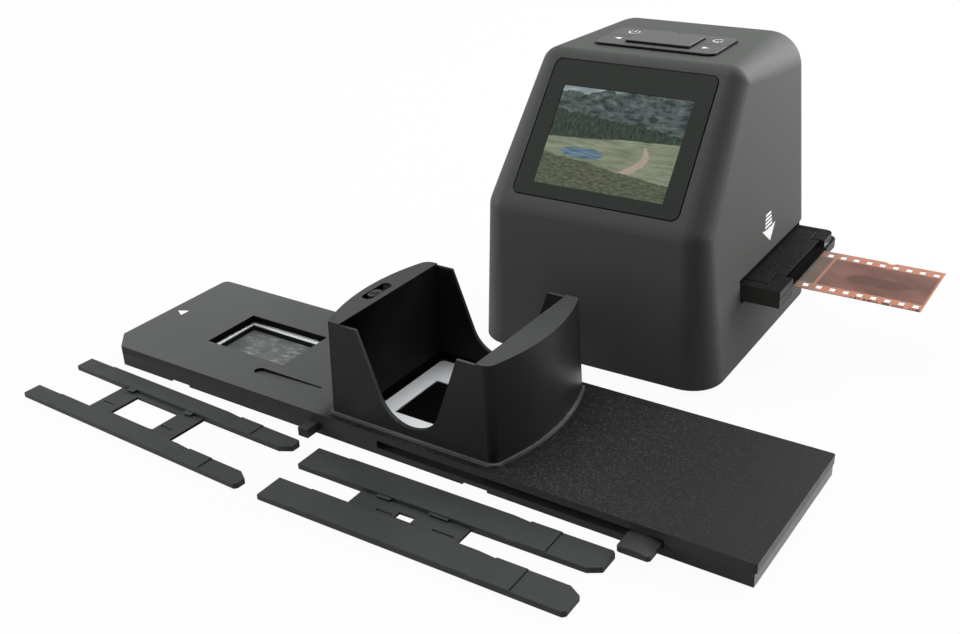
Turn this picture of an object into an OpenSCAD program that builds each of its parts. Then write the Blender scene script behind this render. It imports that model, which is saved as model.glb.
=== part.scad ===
// Film and slide scanner set: desktop scanner with a 35 mm holder in its slot,
// a slide feed tray with its magazine, and two narrow-film adapters.
// Millimetres, +Z up, table at z = 0, origin at the middle of the whole set's floor print.

/* [Scanner body] */
// Width across the base
body_w = 93.6; // [91:0.2:98]
// Depth front to back at the base
body_d = 102.8; // [100:0.2:108]
// Height of the flat top above the table
body_h = 103.5; // [101:0.5:107]
// Height of the upright front below the screen face
front_h = 57; // [56:0.25:58]
// Slope of the screen face from the table, degrees
face_angle = 50.8; // [50:0.2:51.6]
// Lean of each side wall from upright, degrees
side_lean = 4.6; // [4:0.1:5]
// Radius of the upright corners at the base
base_r = 12; // [10:0.5:13]
// Radius of the edge under the screen face
knee_r = 8.7; // [7:0.1:9.5]
// Radius of the edge above the screen face
brow_r = 7; // [6:0.1:7.4]
// Radius of the rear top edge
crown_r = 13; // [11:0.5:14]
// Wall of the moulded housing
wall = 2.2; // [2:0.1:2.4]
// Thickness of the bottom cover
base_t = 2.2; // [2:0.1:3]
// Height of the rubber feet below the housing
foot_h = 0.8; // [0.6:0.1:1.2]
// Radius of a rubber foot
foot_r = 5; // [4:0.5:5.5]

/* [Screen] */
// Width of the glossy screen panel at its lower edge
panel_w = 62.4; // [61:0.2:63]
// How much narrower the screen panel is at its upper edge
panel_taper = 1.4; // [0:0.2:2]
// Height of the glossy screen panel along the face
panel_l = 51; // [49:0.2:51]
// Distance up the face from the lower edge to the panel
panel_lo = 5.2; // [4.6:0.1:5.4]
// Thickness of the screen panel
panel_t = 1.5; // [1.2:0.1:1.6]
// Corner radius of the screen panel
panel_r = 3; // [2:0.5:4]
// Width of the lit picture area
screen_w = 49; // [47:0.2:50]
// Height of the lit picture area
screen_l = 36.7; // [36:0.1:37.4]
// Distance up the face from the lower edge to the picture
screen_lo = 10.1; // [9.6:0.1:10.6]
// Thickness of the display module behind the panel
lcd_t = 2.8; // [2.4:0.1:3.2]

/* [Keys] */
// Width of the raised key field
keys_w = 46; // [44:0.5:48]
// Depth of the raised key field
keys_d = 24; // [23:0.5:26]
// Distance of the key field's centre behind the edge above the screen face
keys_back = 21.97; // [21.4:0.1:22.6]
// Height of the corner keys above the housing
corner_rise = 0.9; // [0.8:0.1:1.2]
// Width of the centre key
scan_w = 24.4; // [22:0.2:26]
// Depth of the centre key
scan_d = 15.4; // [14:0.2:16]
// Height of the centre key above the corner keys
scan_rise = 0.9; // [0.7:0.1:1.2]
// Travel of every key
key_travel = 0.6; // [0.4:0.1:0.6]

/* [Film slot and holder] */
// Distance of the optical axis in front of the housing's rear
optic_back = 39.1; // [38.9:0.1:39.4]
// Width of the slot through the scanner
slot_w = 69; // [68:0.2:69.4]
// Height of the slot's floor above the table
slot_z = 23; // [22.5:0.1:23.5]
// Height of the slot
slot_h = 9; // [8.6:0.1:9.4]
// Length of the 35 mm holder
holder_l = 116; // [112:0.5:120]
// Width of the 35 mm holder
holder_w = 64; // [62:0.5:65]
// Thickness of the 35 mm holder
holder_t = 6.2; // [6:0.1:6.6]
// Width of 35 mm film
film_w = 35; // [34.8:0.1:35.2]
// Thickness of the film
film_t = 0.2; // [0.15:0.05:0.3]
// Length of one film frame with its gap
frame_pitch = 38; // [37.6:0.1:38.4]
// Frames in the strip
strip_frames = 4; // [3:1:4]
// How far the strip reaches out of the holder's right end
strip_out = 43.5; // [40:0.5:46]

/* [Slide tray] */
// Length of the tray
tray_l = 254; // [251:0.5:259]
// Width of the tray
tray_w = 61.4; // [60.8:0.2:64]
// Height of the closed tray
tray_h = 7.7; // [7.5:0.1:8]
// Height of the tray's lower half
tray_split = 4.6; // [4.4:0.1:4.8]
// Size of a square slide mount
slide_size = 50; // [49.6:0.1:50.2]
// Thickness of a slide mount
slide_t = 2; // [1.6:0.1:2.1]
// Distance from the tray's left end to the middle of its viewing window
window_end = 51.1; // [49:0.1:53]
// Distance from the tray's left end to its stop
stop_end = 98.5; // [97:0.1:100]
// Feed distance from magazine to window
feed_travel = 86.9; // [86:0.1:89]
// Height of the magazine above the tray
mag_h = 33.8; // [30:0.2:36]
// Thickness of the magazine's side walls at their middle
mag_side = 10.6; // [9.8:0.2:11.4]
// Thickness of the magazine's side walls at their ends
mag_end = 5.4; // [4.8:0.2:6]
// Thickness of the magazine's front and back panels
mag_panel = 1.6; // [1.4:0.1:1.8]

/* [Film adapters] */
// Length of an adapter
adapter_l = 106.6; // [103:0.5:109]
// Width of an adapter
adapter_w = 29.6; // [29:0.1:30.4]
// Thickness of an adapter's rails
adapter_t = 2.3; // [2.1:0.1:2.6]
// Thickness of the film bed between the rails
bed_t = 0.9; // [0.8:0.1:1.1]
// Width of the film in the wide adapter
wide_film = 16; // [15.6:0.1:16.2]
// Width of the film in the narrow adapter
narrow_film = 8; // [7.8:0.1:8.2]

/* [Hidden] */
$fn = 48;

// Where the scanner's base centre stands, from the middle of the whole set
stand = [31.58, 60.09, 0];
// Where the tray's centre lies from the scanner, and how far it is turned
tray_place = [-30.9, -102.4, 0];
tray_turn = -1.2;
// Where the two adapters lie from the scanner: the right end of the narrow one, the gap
// to the wide one, and how far both are turned
narrow_end = 57.65;
adapter_gap = 8.4;
narrow_place = [narrow_end - adapter_l / 2, -156.6, 0];
narrow_turn = -0.2;
wide_place = [narrow_end - 1.5 * adapter_l - adapter_gap, -153.2, 0];
wide_turn = -3;

play = 0.3;         // between parts of different bodies
key_gap = 0.25;     // round each key
seam = 0.2;         // between neighbouring corner keys
over = 1;           // how far cutters run past a face

// Scanner body, derived
side_tan = tan(side_lean);
face_l = (body_h - front_h) / sin(face_angle);
brow_y = -body_d / 2 + face_l * cos(face_angle);
function half_w(z) = body_w / 2 - z * side_tan;
function inner_half_w(z) = half_w(z) - wall / cos(side_lean);
keys_y = brow_y + keys_back;
optic_y = body_d / 2 - optic_back;
// A point [y, z] at distance v up the screen face and n out of it
function face_point(v, n) = [-body_d / 2 + v * cos(face_angle) - n * sin(face_angle),
    front_h + v * sin(face_angle) + n * cos(face_angle)];
top_inner = body_h - wall;
base_top = foot_h + base_t;

// Base screws in bosses that melt into the corners of the housing
boss_r = 3.9;
boss_in = 3.4;      // how far the boss axis lies inside the wall's inner corner
screw_r = 1.25;
screw_clear = 0.35;
screw_bite = 0.05;  // running clearance of a screw in its boss
head_r = 2.2;
head_t = 1.1;
screw_l = 12;
boss_x = body_w / 2 - base_r + (base_r - wall - boss_in) * cos(45);
boss_y = body_d / 2 - base_r + (base_r - wall - boss_in) * cos(45);
foot_x = 33;
foot_y = 35;

// Screen
panel_gap = 0.4;
ledge_t = 1.6;      // housing left behind the screen panel
lcd_margin = 3;     // display frame round the picture
pane_gap = 0.15;
ribbon_w = 14;
ribbon_t = 0.3;

// Keys
corner_top = body_h + corner_rise;
scan_top = corner_top + scan_rise;
key_flange = 0.8;
scan_lip = 0.7;     // rim of the centre key, held down by the corner keys
flange_top = top_inner - play;
stem_end = top_inner - 1.7;
dome_top = stem_end - key_travel - 0.1;
dome_h = 0.9;
mat_t = 0.6;
board_t = 1.2;
key_board_z = dome_top - dome_h - mat_t - board_t;
light_r = 1.3;
light_y = keys_y + (scan_d / 2 + keys_d / 2) / 2 - 0.5;
scan_y = keys_y - 0.6;
key_post_x = 26.5;
key_post_y = 15;

// Film slot, gate and light path
gate_t = 1.6;
gate_side = 2;
gate_half_l = inner_half_w(slot_z + slot_h + gate_t) - 0.5;
gate_leg_half = 30;
gate_r = 10;        // rear corners, inside the housing's rounded ones
roof_z = slot_z + slot_h;
light_w = 44;
light_d = 34;
light_wall = 1.5;
board_z = base_top + 2;
box_z = board_z + board_t + play;
box_top = slot_z - gate_t - play;
diffuser_t = 1.6;
led_size = [3.4, 2.8, 0.9];
led_pitch = [12, 10];
tower_z = roof_z + gate_t;
tower_h = 37;
cone_h = 25;
cone_r = 24;
tube_r = 11;
tower_wall = 1.5;
flange_w = 54;
flange_d = 48;
main_z = tower_z + tower_h + 5.5;
main_w = 68;
main_front = -body_d / 2 + 31.4;
main_back = body_d / 2 - wall - 2;
main_r = 3;
post_x = 31;
post_front = main_front + 8;
post_back = main_back - 7.2;
post_r = 3;
board_screw_r = 1;
board_head_r = 1.9;
board_head_t = 1;
board_screw_l = 5;
usb = [9, 7.4, 3.2];
usb_x = -17;
card = [28, 25, 2.9];
card_x = 13;
socket_play = 0.3;

// 35 mm holder and strip
holder_z = slot_z + play;
film_z = holder_z + 2.5;
holder_lid_t = 2.2;
lid_in = 6.4;       // how far the lid ends behind the holder's ends
lid_l = holder_l - 2 * lid_in;
lid_w = 53.5;
tongue_w = 37.2;
tongue_l = 3.4;     // how far the lid's tongue runs on past the lid
mouth_in = 3;       // how far the holder's mouth lies behind its end tabs
lip_out = 2.8;      // thin lip of the lid that runs out over the film
holder_step = 3.3;  // height of the holder's broader lower half
step_rear = 2.4;    // how far the upper half stands back from it at the rear
step_end = 1.1;     // and at the rear tabs' ends
holder_r = 4;
film_room = 0.2;    // beside the film in its channel
frame_w = 36;
frame_d = 24;
perf = [2, 2.8];
perf_pitch = frame_pitch / 8;
perf_in = 3.4;      // perforation centre from the edge of the film
strip_l = strip_frames * frame_pitch;
nick_back = 21;     // from the strip's end to the tear in its edge
strip_end = holder_l / 2 + strip_out;

// Slide tray
tray_r = 2.5;       // rear corner of the insertion end
tray_end_r = 0.8;   // corners of the other end
base_short = 0.5;   // how far the lower half ends behind the upper one there
channel_v = -0.5;   // middle of the slide channel across the tray
slide_gap = 0.6;    // between a slide and the channel's walls
channel_w = slide_size + 2 * slide_gap;
channel_z = 2.4;
channel_top = tray_h - 2.5;
window_u = -tray_l / 2 + window_end;
mag_u = window_u + feed_travel;
window_l = 37;
window_w = 24;
slide_z = channel_z + 0.1;
mag_in_l = slide_size + 1.6;
mag_in_w = slide_size + 1.2;
mag_l = mag_in_l + 2 * mag_side;
mag_w = mag_in_w + 2 * mag_panel;
mag_foot = 0.9;
mag_foot_out = 0.9;
mag_lean = 1.2;     // how much each side leans in up to the top
panel_drop = 0.5;
finger_r = 12;
finger_z = 15.8;    // centre of the round bottom of the finger cut
finger_half = 19.2; // half its width at the top
arc_rise = mag_side - mag_end;
arc_r = (pow(mag_w / 2, 2) + pow(arc_rise, 2)) / (2 * arc_rise);
pusher_t = 1.8;
pusher_l = 63.4;
pusher_u = mag_u + slide_size / 2 + play;
tab_l = 10.4;
tab_out = 8;
tab_low = 0.2;      // from the blade's underside up to the tab's
tab_t = 2.3;
tab_crown = 0.8;    // how much higher its middle is than its sides
tab_u = pusher_u + pusher_l - tab_l;
slot_play = 0.4;
slot_rest = 2.4;    // how much longer the tab's slot is than its travel
front_v = -tray_w / 2;
channel_end = pusher_u + pusher_l + 1;
lock_u = mag_u - mag_in_l / 2 - 4.5;
lock_slot = [4.2, 13.5, 2.2];
lock_size = [3.4, 5.6];
lock_v = channel_v - 1.3;
lock_rest = 1.3;    // how far in front of its slot's middle the slider stands
stop_u = -tray_l / 2 + stop_end;
notch_u = [-90.3, 37];
notch = [9, 0.8];
groove_r = 2;
groove_l = 27;
slide_hole = [36, 24];
film_chip = [39, 28];
tray_screw_r = 1;
tray_head_r = 2;
tray_head_t = 1;
tray_screw_l = 6.2;
tray_screw_u = [-96, -30, 70, 119];

// Adapters
rail_nose = [4, 2.4];
film_play = 0.2;
film_guide = 0.3;   // clear height over the film
nib_t = 0.6;
slit_w = 0.6;
wide_bed = [-6.4, 41.3];
narrow_bed = [-7.8, 39.5];
// Rail top from left to right, as [distance from the left end, drop below full height]
rail_top = [[0, 0.3], [13, 0.3], [13.3, 0], [73.4, 0], [78.6, 0.45], [79.2, 0.45], [79.4, 0],
    [89.4, 0], [89.7, 0.3], [adapter_l, 0.3]];

// ---- places ----
module at_scanner() translate(stand) children();
module at_tray() at_scanner() translate(tray_place) rotate([0, 0, tray_turn]) children();
// Local x runs across the screen face, y up it and z out of it
module on_face() translate([0, -body_d / 2, front_h]) rotate([face_angle, 0, 0]) children();
module mirrored(axis) {
    children();
    mirror(axis) children();
}
module at_corners(x, y) for (sx = [-1, 1], sy = [-1, 1]) translate([sx * x, sy * y, 0]) children();

// ---- shapes ----
module block(size) translate([-size[0] / 2, -size[1] / 2, 0]) cube(size);
module rounded_block(w, d, h, r) {
    block([w - 2 * r, d, h]);
    block([w, d - 2 * r, h]);
    at_corners(w / 2 - r, d / 2 - r) cylinder(r = r, h = h);
}
// Rounded block whose sides close in by taper along y
module tapered_block(w, taper, d, h, r) {
    lean = atan(taper / 2 / d);
    function side(y) = w / 2 - y * tan(lean);
    near = side(r) - r / cos(lean);
    far = side(d - r) - r / cos(lean);
    lift = r * sin(lean);
    mirrored([1, 0, 0]) linear_extrude(h) {
        polygon([[0, 0], [near, 0], [near + r * cos(lean), r + lift],
            [far + r * cos(lean), d - r + lift], [far, d], [0, d]]);
        translate([near, r]) circle(r = r);
        translate([far, d - r]) circle(r = r);
    }
}
module tube(r, bore, h) difference() {
    cylinder(r = r, h = h);
    translate([0, 0, -over]) cylinder(r = bore, h = h + 2 * over);
}

// ---- scanner housing ----
module body_ball(y, z, r, inset) {
    x = half_w(z) - r / cos(side_lean);
    mirrored([1, 0, 0]) translate([x, y, z]) sphere(r = r - inset);
}
module body_foot(z, inset) at_corners(body_w / 2 - base_r, body_d / 2 - base_r)
    translate([0, 0, z]) cylinder(r = base_r - inset, h = 0.2);
module body_form(inset, foot_z) hull() {
    body_foot(foot_z, inset + (inset == 0 ? 0.5 : 0));
    body_foot(foot_z + 0.5, inset);
    body_ball(-body_d / 2 + knee_r, front_h - knee_r * tan((90 - face_angle) / 2), knee_r, inset);
    body_ball(brow_y + brow_r * tan(face_angle / 2), body_h - brow_r, brow_r, inset);
    body_ball(body_d / 2 - crown_r, body_h - crown_r, crown_r, inset);
}
module housing_bosses() intersection() {
    at_corners(boss_x, boss_y) translate([0, 0, base_top + 0.2])
        cylinder(r = boss_r, h = screw_l + 2, $fn = 24);
    block([body_w - 2 * wall, body_d - 2 * wall + 1, body_h / 2]);
}
module key_posts() for (s = [-1, 1], t = [-1, 1])
    translate([s * key_post_x, keys_y + t * key_post_y, key_board_z + board_t])
        cylinder(r = 2.4, h = top_inner - key_board_z - board_t + 0.5, $fn = 24);
module housing() at_scanner() color([0.17, 0.18, 0.18]) difference() {
    union() {
        difference() {
            body_form(0, foot_h, $fn = 40);
            body_form(wall, -over, $fn = 24);
        }
        housing_bosses();
        key_posts();
        // ledge that carries the screen panel
        on_face() translate([0, panel_lo + panel_l / 2, -panel_t - ledge_t])
            block([panel_w + 2, panel_l + 1, ledge_t]);
    }
    // recess of the screen panel and its shadow groove
    on_face() translate([0, panel_lo - panel_gap, -panel_t]) tapered_block(panel_w + 2 * panel_gap,
        panel_taper, panel_l + 2 * panel_gap, panel_t + over, panel_r);
    on_face() translate([0, screen_lo + screen_l / 2, -panel_t - ledge_t - over])
        block([screen_w + 2 * lcd_margin + 2 * play, screen_l + 2 * lcd_margin + 2 * play, 9]);
    // key field
    translate([0, keys_y, top_inner - over])
        rounded_block(keys_w + 2 * key_gap, keys_d + 2 * key_gap, 9, 3);
    // slots for film holders, right through both sides
    translate([0, optic_y, slot_z]) block([body_w + 2, slot_w, slot_h]);
    // rear sockets
    translate([usb_x, body_d / 2, main_z + board_t])
        block([usb[0] + 2 * socket_play, 3 * wall, usb[2] + socket_play]);
    translate([card_x, body_d / 2, main_z + board_t])
        block([card[0] - 2, 3 * wall, card[2] + socket_play]);
    at_corners(boss_x, boss_y) translate([0, 0, -over])
        cylinder(r = screw_r + screw_bite, h = base_top + screw_l + over);
    for (s = [-1, 1], t = [-1, 1])
        translate([s * key_post_x, keys_y + t * key_post_y, key_board_z])
            cylinder(r = board_screw_r + screw_bite, h = board_screw_l);
}
module base_plate() at_scanner() color([0.13, 0.13, 0.13]) difference() {
    union() {
        translate([0, 0, foot_h])
            rounded_block(body_w - 2 * wall - 1, body_d - 2 * wall - 1, base_t, base_r - wall - 0.5);
        translate([0, optic_y, base_top - 0.2]) at_corners(light_w / 2 + 2, light_d / 2 + 2)
            cylinder(r = 2.4, h = board_z - base_top + 0.2, $fn = 24);
    }
    at_corners(boss_x, boss_y) {
        cylinder(r = screw_r + screw_clear, h = base_top + over);
        cylinder(r = head_r + screw_clear, h = foot_h + head_t + 0.1);
    }
    at_corners(foot_x, foot_y) cylinder(r = foot_r + 0.2, h = foot_h + 0.4);
}
module rubber_feet() at_scanner() color([0.05, 0.05, 0.05])
    at_corners(foot_x, foot_y) cylinder(r = foot_r, h = foot_h + 0.4);
module base_screws() at_scanner() color([0.55, 0.55, 0.57]) at_corners(boss_x, boss_y)
    translate([0, 0, foot_h + 0.05]) difference() {
        union() {
            cylinder(r = head_r, h = head_t);
            cylinder(r = screw_r, h = screw_l);
        }
        for (a = [0, 90]) rotate([0, 0, a]) translate([0, 0, -over]) block([0.6, 3, over + 0.6]);
    }

// ---- screen ----
module screen_panel() at_scanner() color([0.05, 0.05, 0.055]) on_face() difference() {
    translate([0, panel_lo, -panel_t + 0.02])
        tapered_block(panel_w, panel_taper, panel_l, panel_t - 0.02, panel_r - panel_gap);
    translate([0, screen_lo + screen_l / 2, -panel_t - over]) block([screen_w, screen_l, 9]);
}
module screen_pane() at_scanner() color([0.25, 0.4, 0.3]) on_face()
    translate([0, screen_lo + screen_l / 2, -panel_t + 0.02])
        block([screen_w - 2 * pane_gap, screen_l - 2 * pane_gap, panel_t - 0.12]);
module lcd_module() at_scanner() color([0.7, 0.7, 0.72]) on_face()
    translate([0, screen_lo + screen_l / 2, -panel_t - lcd_t])
        block([screen_w + 2 * lcd_margin, screen_l + 2 * lcd_margin, lcd_t]);
module screen_ribbon() {
    start = face_point(screen_lo + 4, -panel_t - lcd_t - 0.1);
    path = [start, start + [2.6, -2.4], start + [6.5, -1.8], [main_front - 6.5, main_z - 3],
        [main_front - 4, main_z + board_t + 1.2], [main_front - 1, main_z + board_t + 0.5],
        [main_front + 3, main_z + board_t + 0.1]];
    last = len(path) - 1;
    back = [for (i = [last:-1:0])
        let (run = path[min(i + 1, last)] - path[max(i - 1, 0)])
        path[i] + ribbon_t * [-run[1], run[0]] / norm(run)];
    at_scanner() color([0.75, 0.55, 0.25]) translate([-ribbon_w / 2, 0, 0]) rotate([90, 0, 90])
        linear_extrude(ribbon_w) polygon(concat(path, back));
}

// ---- keys ----
// One quarter of the key field, cut round the centre key and the status light
module corner_key(sx, sy) at_scanner() color([0.2, 0.21, 0.21]) difference() {
    intersection() {
        translate([0, keys_y, 0]) union() {
            translate([0, 0, flange_top - 0.8]) rounded_block(keys_w + 2 * key_flange,
                keys_d + 2 * key_flange, 0.8, 3 + key_flange);
            translate([0, 0, flange_top - 0.8])
                rounded_block(keys_w, keys_d, corner_top - flange_top + 0.8, 2.8);
            translate([sx * (keys_w / 2 - 4.4), sy * (keys_d / 2 - 5), stem_end])
                cylinder(r = 1.8, h = 2, $fn = 24);
        }
        translate([sx * (seam / 2 + keys_w / 2), keys_y + sy * (seam / 2 + keys_d / 2), stem_end - 1])
            block([keys_w, keys_d, 9]);
    }
    translate([0, scan_y, stem_end - 2]) {
        block([scan_w + 2 * key_gap, scan_d + 2 * key_gap, 12]);
        block([scan_w + 2 * key_gap + 2 * scan_lip, scan_d + 2 * key_gap + 2 * scan_lip,
            flange_top + key_travel + key_gap - stem_end + 2]);
    }
    translate([0, light_y, stem_end - 2]) cylinder(r = light_r + key_gap, h = 12, $fn = 24);
}
module power_key() corner_key(-1, 1);
module left_key() corner_key(-1, -1);
module right_key() corner_key(1, -1);
module turn_key() corner_key(1, 1);
module scan_key() at_scanner() color([0.2, 0.21, 0.21]) translate([0, scan_y, 0]) {
    translate([0, 0, flange_top - 0.8]) {
        rounded_block(scan_w, scan_d, scan_top - flange_top + 0.8, 0.8);
        block([scan_w + 2 * scan_lip, scan_d + 2 * scan_lip, 0.8]);
    }
    translate([0, 0, stem_end]) cylinder(r = 2.2, h = 2, $fn = 24);
}
module key_domes() at_scanner() color([0.6, 0.6, 0.6]) {
    translate([0, keys_y, key_board_z + board_t]) difference() {
        block([keys_w - 2, keys_d - 2, mat_t]);
        translate([0, light_y - keys_y, -over]) cylinder(r = light_r + 0.6, h = 4, $fn = 24);
    }
    for (p = [[0, scan_y - keys_y], for (sx = [-1, 1], sy = [-1, 1])
        [sx * (keys_w / 2 - 4.4), sy * (keys_d / 2 - 5)]])
        translate([p[0], keys_y + p[1], key_board_z + board_t + mat_t])
            cylinder(r1 = 3, r2 = 1.8, h = dome_h, $fn = 24);
}
module key_board() at_scanner() color([0.1, 0.35, 0.2]) translate([0, keys_y, key_board_z])
    difference() {
        block([2 * key_post_x + 6, 2 * key_post_y + 6, board_t]);
        at_corners(key_post_x, key_post_y) translate([0, 0, -over])
            cylinder(r = board_screw_r + 0.2, h = 4, $fn = 24);
    }
module status_light() at_scanner() color([0.6, 0.7, 0.6])
    translate([0, light_y, key_board_z + board_t])
        cylinder(r = light_r, h = corner_top - key_board_z - board_t + 0.05, $fn = 24);
module board_screw() {
    cylinder(r = board_screw_r, h = board_screw_l, $fn = 24);
    translate([0, 0, -board_head_t]) cylinder(r = board_head_r, h = board_head_t, $fn = 24);
}
module board_screws() at_scanner() color([0.6, 0.6, 0.62]) {
    for (s = [-1, 1], t = [-1, 1])
        translate([s * key_post_x, keys_y + t * key_post_y, key_board_z - 0.02]) board_screw();
    for (s = [-1, 1], y = [post_front, post_back])
        translate([s * post_x, y, main_z + board_t + 0.02]) mirror([0, 0, 1]) board_screw();
}

// ---- film gate, light and camera ----
// What one rear corner loses to a rounded one
module corner_cut(x, y, r, h) translate([x, y, 0]) difference() {
    block([2 * r, 2 * r, h]);
    translate([-r, -r, -over]) cylinder(r = r, h = h + 2 * over);
}
module film_gate() at_scanner() color([0.12, 0.12, 0.12]) difference() {
    union() {
        for (z = [slot_z - gate_t, roof_z]) translate([0, optic_y, z])
            block([2 * gate_half_l, slot_w + 2 * gate_side, gate_t]);
        for (s = [-1, 1]) {
            side_y = optic_y + s * (slot_w + gate_side) / 2;
            translate([0, side_y, slot_z - gate_t])
                block([2 * gate_half_l, gate_side, slot_h + 2 * gate_t]);
            translate([0, side_y, base_top])
                block([2 * gate_leg_half, gate_side, slot_z - base_top]);
        }
        for (s = [-1, 1], y = [post_front, post_back]) translate([s * post_x, y, roof_z])
            cylinder(r = post_r, h = main_z - roof_z, $fn = 24);
    }
    translate([0, optic_y, slot_z - gate_t - over]) block([frame_w + 2, frame_d + 2, gate_t + 2 * over]);
    translate([0, optic_y, roof_z - over]) block([frame_w + 5, frame_d + 5, gate_t + 2 * over]);
    for (s = [-1, 1], y = [post_front, post_back]) translate([s * post_x, y, main_z - 8])
        cylinder(r = board_screw_r + screw_bite, h = 8 + over, $fn = 24);
    mirrored([1, 0, 0]) translate([0, 0, slot_z - gate_t - over])
        corner_cut(gate_half_l, optic_y + slot_w / 2 + gate_side, gate_r, slot_h + 2 * gate_t + 2 * over);
}
module backlight_board() at_scanner() color([0.85, 0.85, 0.82])
    translate([0, optic_y, board_z]) block([light_w + 8, light_d + 8, board_t]);
module backlight_leds() at_scanner() color([0.95, 0.9, 0.6])
    for (i = [-1.5:1.5], j = [-1:1])
        translate([i * led_pitch[0] * 0.8, optic_y + j * led_pitch[1], board_z + board_t])
            block(led_size);
module light_box() at_scanner() color([0.93, 0.93, 0.92]) translate([0, optic_y, box_z]) difference() {
    block([light_w + 2 * light_wall + 2, light_d + 2 * light_wall + 2, box_top - box_z]);
    translate([0, 0, -over]) block([light_w, light_d, box_top]);
    translate([0, 0, box_top - box_z - diffuser_t - 0.2]) block([light_w + 2, light_d + 2, 9]);
}
module diffuser() at_scanner() color([0.97, 0.97, 0.97])
    translate([0, optic_y, box_top - diffuser_t - 0.2])
        block([light_w + 1.6, light_d + 1.6, diffuser_t]);
module lens_tower() at_scanner() color([0.1, 0.1, 0.1]) translate([0, optic_y, tower_z]) {
    difference() {
        block([flange_w, flange_d, 1.6]);
        translate([0, 0, -over]) cylinder(r = cone_r - tower_wall, h = 4);
    }
    rotate_extrude() polygon([[cone_r - tower_wall, 0], [cone_r, 0], [cone_r, 1.6],
        [tube_r, cone_h], [tube_r, tower_h], [tube_r - tower_wall, tower_h],
        [tube_r - tower_wall, cone_h - 0.4], [cone_r - tower_wall, 1.2]]);
}
module lens_barrel() at_scanner() color([0.07, 0.07, 0.07]) translate([0, optic_y, tower_z + cone_h])
    tube(tube_r - tower_wall - 0.05, 6, tower_h - cone_h + 1.5);
module lens_glass() at_scanner() color([0.6, 0.7, 0.8, 0.5]) for (z = [2, 9])
    translate([0, optic_y, tower_z + cone_h + z])
        rotate_extrude() polygon([[0, 0], [5.9, 0.6], [5.9, 1.8], [4, 2.4], [0, 2.8]]);
module image_sensor() at_scanner() color([0.2, 0.22, 0.3])
    translate([0, optic_y, main_z - 1.3]) block([11, 9, 1.3]);
module main_board() at_scanner() color([0.08, 0.3, 0.16]) {
    difference() {
        translate([0, (main_front + main_back) / 2, main_z])
            rounded_block(main_w, main_back - main_front, board_t, main_r);
        for (s = [-1, 1], y = [post_front, post_back]) translate([s * post_x, y, main_z - over])
            cylinder(r = board_screw_r + 0.2, h = 4, $fn = 24);
    }
    translate([-8, 6, main_z + board_t]) block([14, 14, 1.2]);
    translate([12, 8, main_z + board_t]) block([8, 11, 1]);
}
module usb_socket() at_scanner() color([0.75, 0.75, 0.77])
    translate([usb_x, body_d / 2 - 0.6 - usb[1] / 2, main_z + board_t]) difference() {
        block(usb);
        translate([0, 1, 0.5]) block([usb[0] - 1, usb[1], usb[2] - 1]);
    }
module card_socket() at_scanner() color([0.75, 0.75, 0.77])
    translate([card_x, body_d / 2 - wall - 0.2 - card[1] / 2, main_z + board_t]) difference() {
        block(card);
        translate([0, 1, 0.4]) block([card[0] - 3, card[1], card[2] - 0.8]);
    }

// ---- 35 mm holder and film ----
lid_z = holder_z + holder_t - holder_lid_t;
film_bed = film_z - 0.1;
module holder_base() at_scanner() color([0.1, 0.1, 0.105]) translate([0, optic_y, 0]) difference() {
    union() {
        translate([0, 0, holder_z]) block([holder_l - 12, holder_w, holder_t]);
        tab_w = (holder_w - tongue_w) / 2;
        for (s = [-1, 1]) translate([0, s * (holder_w - tab_w) / 2, holder_z])
            block([holder_l, tab_w, holder_t]);
        translate([0, 0, holder_z]) block([holder_l - 2 * mouth_in, tongue_w, lid_z - holder_z]);
    }
    mirrored([1, 0, 0]) {
        // rounded rear corners, and the upper half standing back behind the lower one
        translate([0, 0, holder_z - over])
            corner_cut(holder_l / 2, holder_w / 2, holder_r, holder_t + 2 * over);
        translate([0, 0, holder_z + holder_step]) {
            translate([0, holder_w / 2, 0]) block([holder_l + 2, 2 * step_rear, holder_t]);
            translate([holder_l / 2, holder_w / 2 - 6, 0]) block([2 * step_end, 16, holder_t]);
            corner_cut(holder_l / 2 - step_end, holder_w / 2 - step_rear, holder_r - 1, holder_t);
        }
        // parting line across the front tab's end
        translate([holder_l / 2, -holder_w / 2, holder_z + holder_step]) block([1, 40, 0.3]);
    }
    // film channel
    translate([0, 0, film_bed])
        block([holder_l + 2, film_w + 2 * film_room, lid_z - film_bed + over]);
    // seat of the lid
    translate([0, 0, lid_z]) {
        block([lid_l + 2 * play, lid_w + 2 * play, holder_lid_t + over]);
        block([holder_l + 2, tongue_w, holder_lid_t + over]);
    }
    translate([0, 0, holder_z - over]) block([frame_w + 2, frame_d + 2, 9]);
}
module holder_lid() at_scanner() color([0.1, 0.1, 0.105]) translate([0, optic_y, lid_z + 0.02])
    difference() {
        union() {
            block([lid_l, lid_w, holder_lid_t - 0.02]);
            block([lid_l + 2 * tongue_l, tongue_w - 2 * play, holder_lid_t - 0.02]);
            for (s = [-1, 1]) translate([s * (lid_l / 2 + tongue_l), 0, film_z + film_t + play - lid_z])
                block([2 * lip_out, film_w - 2 * play, lid_z - film_z - film_t - play + 0.3]);
        }
        translate([0, 0, -over]) block([frame_w + 2, frame_d + 2, 9]);
    }
module film_strip() at_scanner() color([0.55, 0.3, 0.18, 0.85])
    translate([strip_end - strip_l, optic_y, film_z]) linear_extrude(film_t) difference() {
        translate([0, -film_w / 2]) square([strip_l, film_w]);
        for (i = [0:8 * strip_frames - 1], s = [-1, 1])
            translate([(i + 0.5) * perf_pitch, s * (film_w / 2 - perf_in)]) square(perf, center = true);
        // small tear in the rear edge
        translate([strip_l - nick_back, film_w / 2]) polygon([[0, 0.5], [0.4, -0.4], [1.9, -1.2],
            [3.2, -0.8], [4.2, 0.5]]);
    }

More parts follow.
